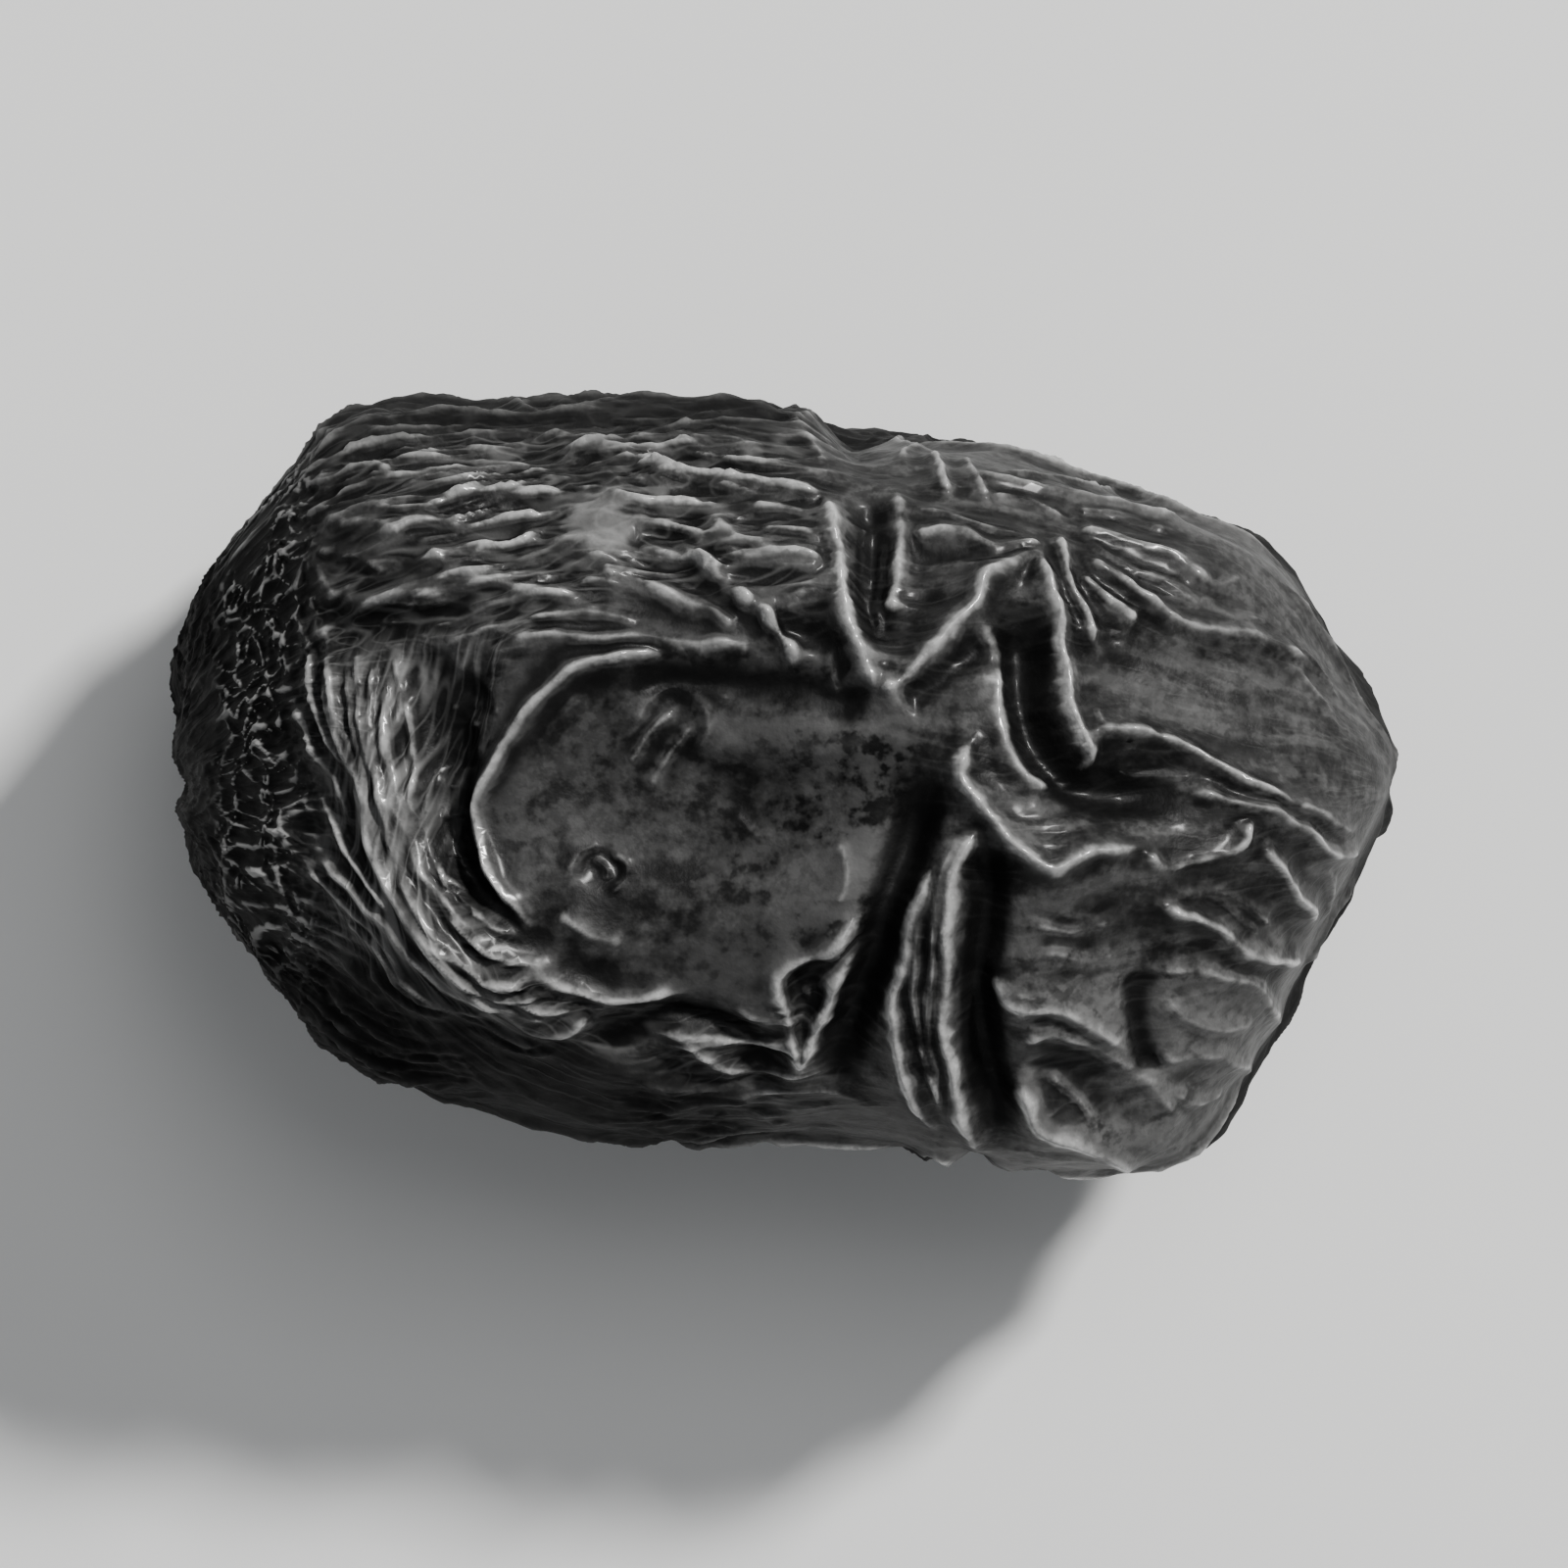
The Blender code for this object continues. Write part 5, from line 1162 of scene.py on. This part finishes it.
def skin_material():
    material = bpy.data.materials.new("waxy_black_skin")
    nodes = Nodes(material)
    place = nodes.add("ShaderNodeTexCoord", output="Object")
    along, across, height = (
        nodes.add("ShaderNodeSeparateXYZ", {}, {0: place}, axis) * (1.0 / MM) for axis in "XYZ"
    )
    crest, ridge, hollow, furrow, smooth, run_share, ring_share = (
        number(nodes, name) for name in numbers
    )
    cloud = nodes.grain(place, 3.5)
    mottle = nodes.grain(place, 0.7, 3.0, 0.6)
    fleck = nodes.grain(place, 0.30, 2.0, 0.6)
    grit = nodes.grain(place, 0.20, 2.0, 0.6)
    streak = streaks(nodes, "lengthwise", 0.8, (0.20, 1.0, 1.0), 2.0)

    # Painted shade: black on the lower left side, in a band low on the sides, at the far edge, at
    # the far corner of the stem end and at the stem end, and less wax and painted highlight lower
    # down
    wear_and_painted_light = nodes.ramp(height, 5.5, 11.5, 0.15, 1.0) + nodes.ramp(height, 6.0, 3.5) * 0.45
    # The stem end is painted black, as painted shade where it turns away from the light
    stem = nodes.ramp(along + (mottle - 0.5), -11.8, -13.6)
    towards_lower_left = along * -0.32 + across * -0.95 + (cloud - 0.5) * 1.6
    painted_shade_lower_left = nodes.ramps((towards_lower_left, 7.6, 8.8), (along, 2.0, -4.0))
    # Painted shade in a band low on the sides, where they turn away from the camera
    low = nodes.ramps((height, 10.5, 7.0), (height, 3.5, 6.5, 0.40, 1.0))
    painted_shade_far_edge = nodes.ramps((across, 8.7, 9.7), (along, 3.0, -1.0))
    painted_shade_far_corner = nodes.ramps((across, 3.2, 5.2), (along, -8.6, -11.2))
    dull_painted_shade = either(painted_shade_lower_left, low, painted_shade_far_edge, painted_shade_far_corner * 0.55)
    # The share of wax and painted highlight that is left outside the painted shade
    shown = wear_and_painted_light * (1.0 - dull_painted_shade * 0.80) * (1.0 - painted_shade_lower_left * 0.50) * (1.0 - stem * 0.85)
    bowl = (1.0 - run_share - ring_share) * wear_and_painted_light
    # Painted light on the lower tip, whose facets face away from the key light
    painted_light_on_lower_tip = nodes.ramps((across, -3.5, -6.0), (along, 5.0, 7.5)) * (1.0 - low)
    # Painted shade: black in the furrows
    painted_shade_in_furrows = nodes.ramp(furrow, 0.10, 0.55)

    # Fine lines, which fade out towards the smooth facets of the tip
    shoulder = nodes.ramp(along, 3.0, -2.0, 0.22, 1.0)
    patchy = nodes.ramp(nodes.grain(place, 1.6, 1.0), 0.36, 0.58, 0.25, 1.0)
    run_lines = strands(nodes, "lengthwise", 0.55, (0.22, 1.0, 1.0), 1.0) * run_share * shoulder
    run_hairs = strands(nodes, "lengthwise", 0.28, (0.25, 1.0, 1.0)) * run_share * shoulder
    ring_lines = strands(nodes, "ringwise", 0.50, (1.0, 0.10, 1.0), 1.0) * ring_share
    ring_hairs = strands(nodes, "ringwise", 0.27, (1.0, 0.12, 1.0)) * ring_share
    lines = (run_lines + run_hairs * 0.5) * patchy + ring_lines + ring_hairs * 0.5
    lines = lines * (1.0 - stem)

    # Crests and ridges that carry wax and painted highlight, and painted shade in what has sunk
    # between them
    wax_and_highlight_on_crests = nodes.ramp(crest + (mottle - 0.5) * 0.07, 0.022, 0.17) * shown
    wax_and_highlight_on_crackle = nodes.ramp(crest, 0.008, 0.055) * stem * wear_and_painted_light * (1.0 - painted_shade_lower_left * 0.80)
    wax_and_highlight_on_crackle = wax_and_highlight_on_crackle * nodes.ramp(along, -15.2, -14.3)
    wax_and_highlight_on_ridges = nodes.ramp(ridge + (mottle - 0.5) * 0.16, 0.02, 0.36) * shown * (1.0 - painted_shade_in_furrows * 0.75)
    # Painted light on the rings outside the bowl, most on their lower side
    painted_light_on_rings = ring_share * nodes.ramp(across, -3.0, -5.5, 0.24, 0.38)
    # Painted shade in the hollows and in the creases between the crests
    painted_shade_in_hollows = nodes.ramp(hollow + (mottle - 0.5) * 0.16, 0.0, -0.50)
    painted_shade_in_creases = nodes.ramp(crest, 0.0, -0.04)

    # Dusty film, which on the lower tip is painted light; streaks of painted sheen; black patches;
    # and a painted highlight on the smooth spot
    film = nodes.ramp(mottle * 0.45 + cloud * 0.20 + streak * 0.35 + painted_light_on_lower_tip * 0.12, 0.43, 0.58)
    specks = nodes.ramp(fleck, 0.42, 0.60)
    # Painted sheen on streaks of the tip's facets
    painted_sheen_streaks = nodes.ramp(streak + (fleck - 0.5) * 0.3, 0.49, 0.64) * (1.0 - shoulder) * (1.0 - painted_shade_in_furrows)
    raised = nodes.ramp(hollow, -0.06, 0.18) * bowl
    patches = nodes.ramp(mottle * 0.40 + streak * 0.35 + fleck * 0.25, 0.50, 0.41)
    # Painted highlight on the smooth swelling of the shoulder
    painted_highlight_spot = nodes.ramp(smooth + (mottle + streak - 1.0) * 0.9, 0.30, 0.66)

    # The colour: each row blends one more tint over the rows before it
    layers = (
        # Dusty film, more of it in the bowl and on the lower tip, where it is painted light
        (film * (0.25 + specks * 0.55 + (painted_light_on_lower_tip + bowl) * 0.30), FILM),
        # Painted light on the lower tip
        (film * painted_light_on_lower_tip * 0.07, WAX_AND_HIGHLIGHT),
        (raised * 0.70, FILM),
        (patches * (bowl * (1.0 - raised * 0.4) + 1.0 - shoulder) * 0.75, BLACK),
        # Painted sheen on the tip's streaks, and a painted highlight on the smooth spot
        (painted_sheen_streaks * shown * 0.08, WAX_AND_HIGHLIGHT),
        (painted_highlight_spot * (0.05 + mottle * 0.30), WAX_AND_HIGHLIGHT),
        # Painted shade: black on the masked sides and edges, and in the furrows
        (either(dull_painted_shade * 0.88, painted_shade_in_furrows * 0.70), BLACK),
        # Painted shade at the stem end
        (stem * 0.92, BLACK),
        # Painted shade in hollows and creases
        (painted_shade_in_hollows * (0.85 - bowl * 0.35), BLACK),
        (painted_shade_in_creases * 0.85, BLACK),
        # Wax and painted highlight on the ridges, the fine lines, the crackle and the crests
        (wax_and_highlight_on_ridges * (0.16 + painted_light_on_rings), WAX_AND_HIGHLIGHT),
        (lines * shown * (1.0 - painted_shade_in_furrows * 0.75) * (0.15 + ring_share * 0.12), WAX_AND_HIGHLIGHT),
        (wax_and_highlight_on_crackle * 0.72, WAX_AND_HIGHLIGHT),
        (wax_and_highlight_on_crests * (0.30 + mottle * 0.70 + specks * 0.35), WAX_AND_HIGHLIGHT),
    )
    colour = nodes.blend(nodes.ramp(cloud, 0.35, 0.65), DARK, SATIN)
    for share, tint in layers:
        colour = nodes.blend(share, colour, tint)

    roughness = 0.46 + film * 0.08 + (mottle - 0.5) * 0.16 - wax_and_highlight_on_crests * 0.16 + (dull_painted_shade + stem) * 0.22
    gloss = nodes.ramp(wax_and_highlight_on_crests * 0.7 + wax_and_highlight_on_ridges * 0.5, 0.05, 0.80, 0.02, 0.80) + shown * 0.06
    # Only a few patterns go into the bump, because it works out each of them three times
    relief = mottle * 0.35 + grit * 0.35 + (run_lines + ring_lines) * 0.40
    bump = nodes.add(
        "ShaderNodeBump", {}, {"Strength": 0.7, "Distance": 0.07 * MM, "Height": relief}
    )
    shader = material.node_tree.nodes["Principled BSDF"]
    nodes.fill(shader, {
        "Base Color": colour, "Roughness": roughness, "Normal": bump, "Coat Weight": gloss,
        "Specular IOR Level": 0.12, "Coat Roughness": 0.18,
    })
    return material


skin.data.materials.append(skin_material())
print("skin material:", skin.data.materials[0].name)

# %% [markdown]
# ## The floor
#
# A plain pale sweep: level under the fruit, and curving up far from it all round, so that no view
# sees an edge. It is a profile turned about the Z axis.

# %% Studio sweep
FLOOR_RADIUS = 0.9
SWEEP_RADIUS = 0.5
FLOOR_SIDES = 96
FLOOR_COLOUR = (0.86, 0.865, 0.86, 1.0)
FLOOR_ROUGHNESS = 0.60


def sweep():
    """A middle point and rings of the profile (R/3, 0), (R, 0) and a quarter circle of radius s."""
    bend = np.linspace(0.0, np.pi / 2.0, 13)
    out = np.append(FLOOR_RADIUS / 3.0, FLOOR_RADIUS + SWEEP_RADIUS * np.sin(bend))[:, None]
    up = np.append(0.0, SWEEP_RADIUS * (1.0 - np.cos(bend)))[:, None]
    turn = np.linspace(0.0, 2.0 * np.pi, FLOOR_SIDES, endpoint=False)
    rings = np.stack([out * np.cos(turn), out * np.sin(turn), up + 0.0 * turn], axis=-1)
    index = np.arange(1, len(out) * FLOOR_SIDES + 1).reshape(len(out), FLOOR_SIDES)
    beside = np.roll(index, -1, axis=1)
    quads = np.stack([index[:-1], index[1:], beside[1:], beside[:-1]], -1).reshape(-1, 4)
    fan = np.stack([0 * index[0], index[0], beside[0]], -1)
    return np.concatenate([[[0, 0, 0]], rings.reshape(-1, 3)]), fan.tolist() + quads.tolist()


def floor_material():
    material = bpy.data.materials.new("pale_floor")
    nodes = Nodes(material)
    shader = material.node_tree.nodes["Principled BSDF"]
    nodes.fill(shader, {"Base Color": FLOOR_COLOUR, "Roughness": FLOOR_ROUGHNESS})
    return material


floor_points, floor_faces = sweep()
floor_mesh = bpy.data.meshes.new("floor")
floor_mesh.from_pydata(floor_points.tolist(), [], floor_faces)
floor_mesh.shade_smooth()
floor = bpy.data.objects.new("floor", floor_mesh)
floor.data.materials.append(floor_material())
bpy.context.scene.collection.objects.link(floor)
print("floor of", len(floor_mesh.polygons), "faces")

# %% [markdown]
# ## Light
#
# One main softbox stands at the upper right, 45 degrees up, and draws the crests and the shadow to
# the lower left. A wide, weak one overhead puts a grey sheen on the facets that face up, and a dim
# world keeps the shadows open.

# %% Softboxes and the world
from mathutils import Vector

WORLD_COLOUR = (0.95, 0.97, 1.0, 1.0)
WORLD_STRENGTH = 0.23


def softbox(name, towards, distance, size, power, colour=(1.0, 1.0, 1.0)):
    """A square area light that faces the fruit from the direction towards."""
    light = bpy.data.lights.new(name, "AREA")
    light.size = size
    light.energy = power
    light.color = colour
    holder = bpy.data.objects.new(name, light)
    direction = Vector(towards).normalized()
    middle = Vector((0.0, 0.0, HEIGHT * MM / 2.0))
    holder.location = middle + direction * distance
    holder.rotation_euler = direction.to_track_quat("Z", "Y").to_euler()
    bpy.context.scene.collection.objects.link(holder)


softbox("key", (0.62, 0.62, 0.80), 0.70, 0.08, 7.6, (1.0, 0.99, 0.975))
softbox("overhead", (0.20, 0.35, 1.0), 0.90, 0.40, 1.2)

world = bpy.data.worlds.new("studio")
world.use_nodes = True
background = world.node_tree.nodes["Background"]
background.inputs["Color"].default_value = WORLD_COLOUR
background.inputs["Strength"].default_value = WORLD_STRENGTH
bpy.context.scene.world = world
print("two softboxes and a dim world")

# %% [markdown]
# ## Camera
#
# The fruit is seen from straight above, with its tip to the right. A long lens at half a metre
# keeps the sides parallel, as they are in a picture taken from much further off than the fruit
# is large.

# %% Camera
FRAME_WIDTH = 41.5
LENS = 400.0

camera_data = bpy.data.cameras.new("camera")
camera_data.lens = LENS
camera = bpy.data.objects.new("camera", camera_data)
camera_height = FRAME_WIDTH * MM * LENS / camera_data.sensor_width
camera.location = (0.0, 0.0, HEIGHT * MM / 2.0 + camera_height)
camera_data.clip_start, camera_data.clip_end = 0.05, 10.0
bpy.context.scene.collection.objects.link(camera)
bpy.context.scene.camera = camera
print("camera", round(camera_height / MM), "mm above the fruit's middle")
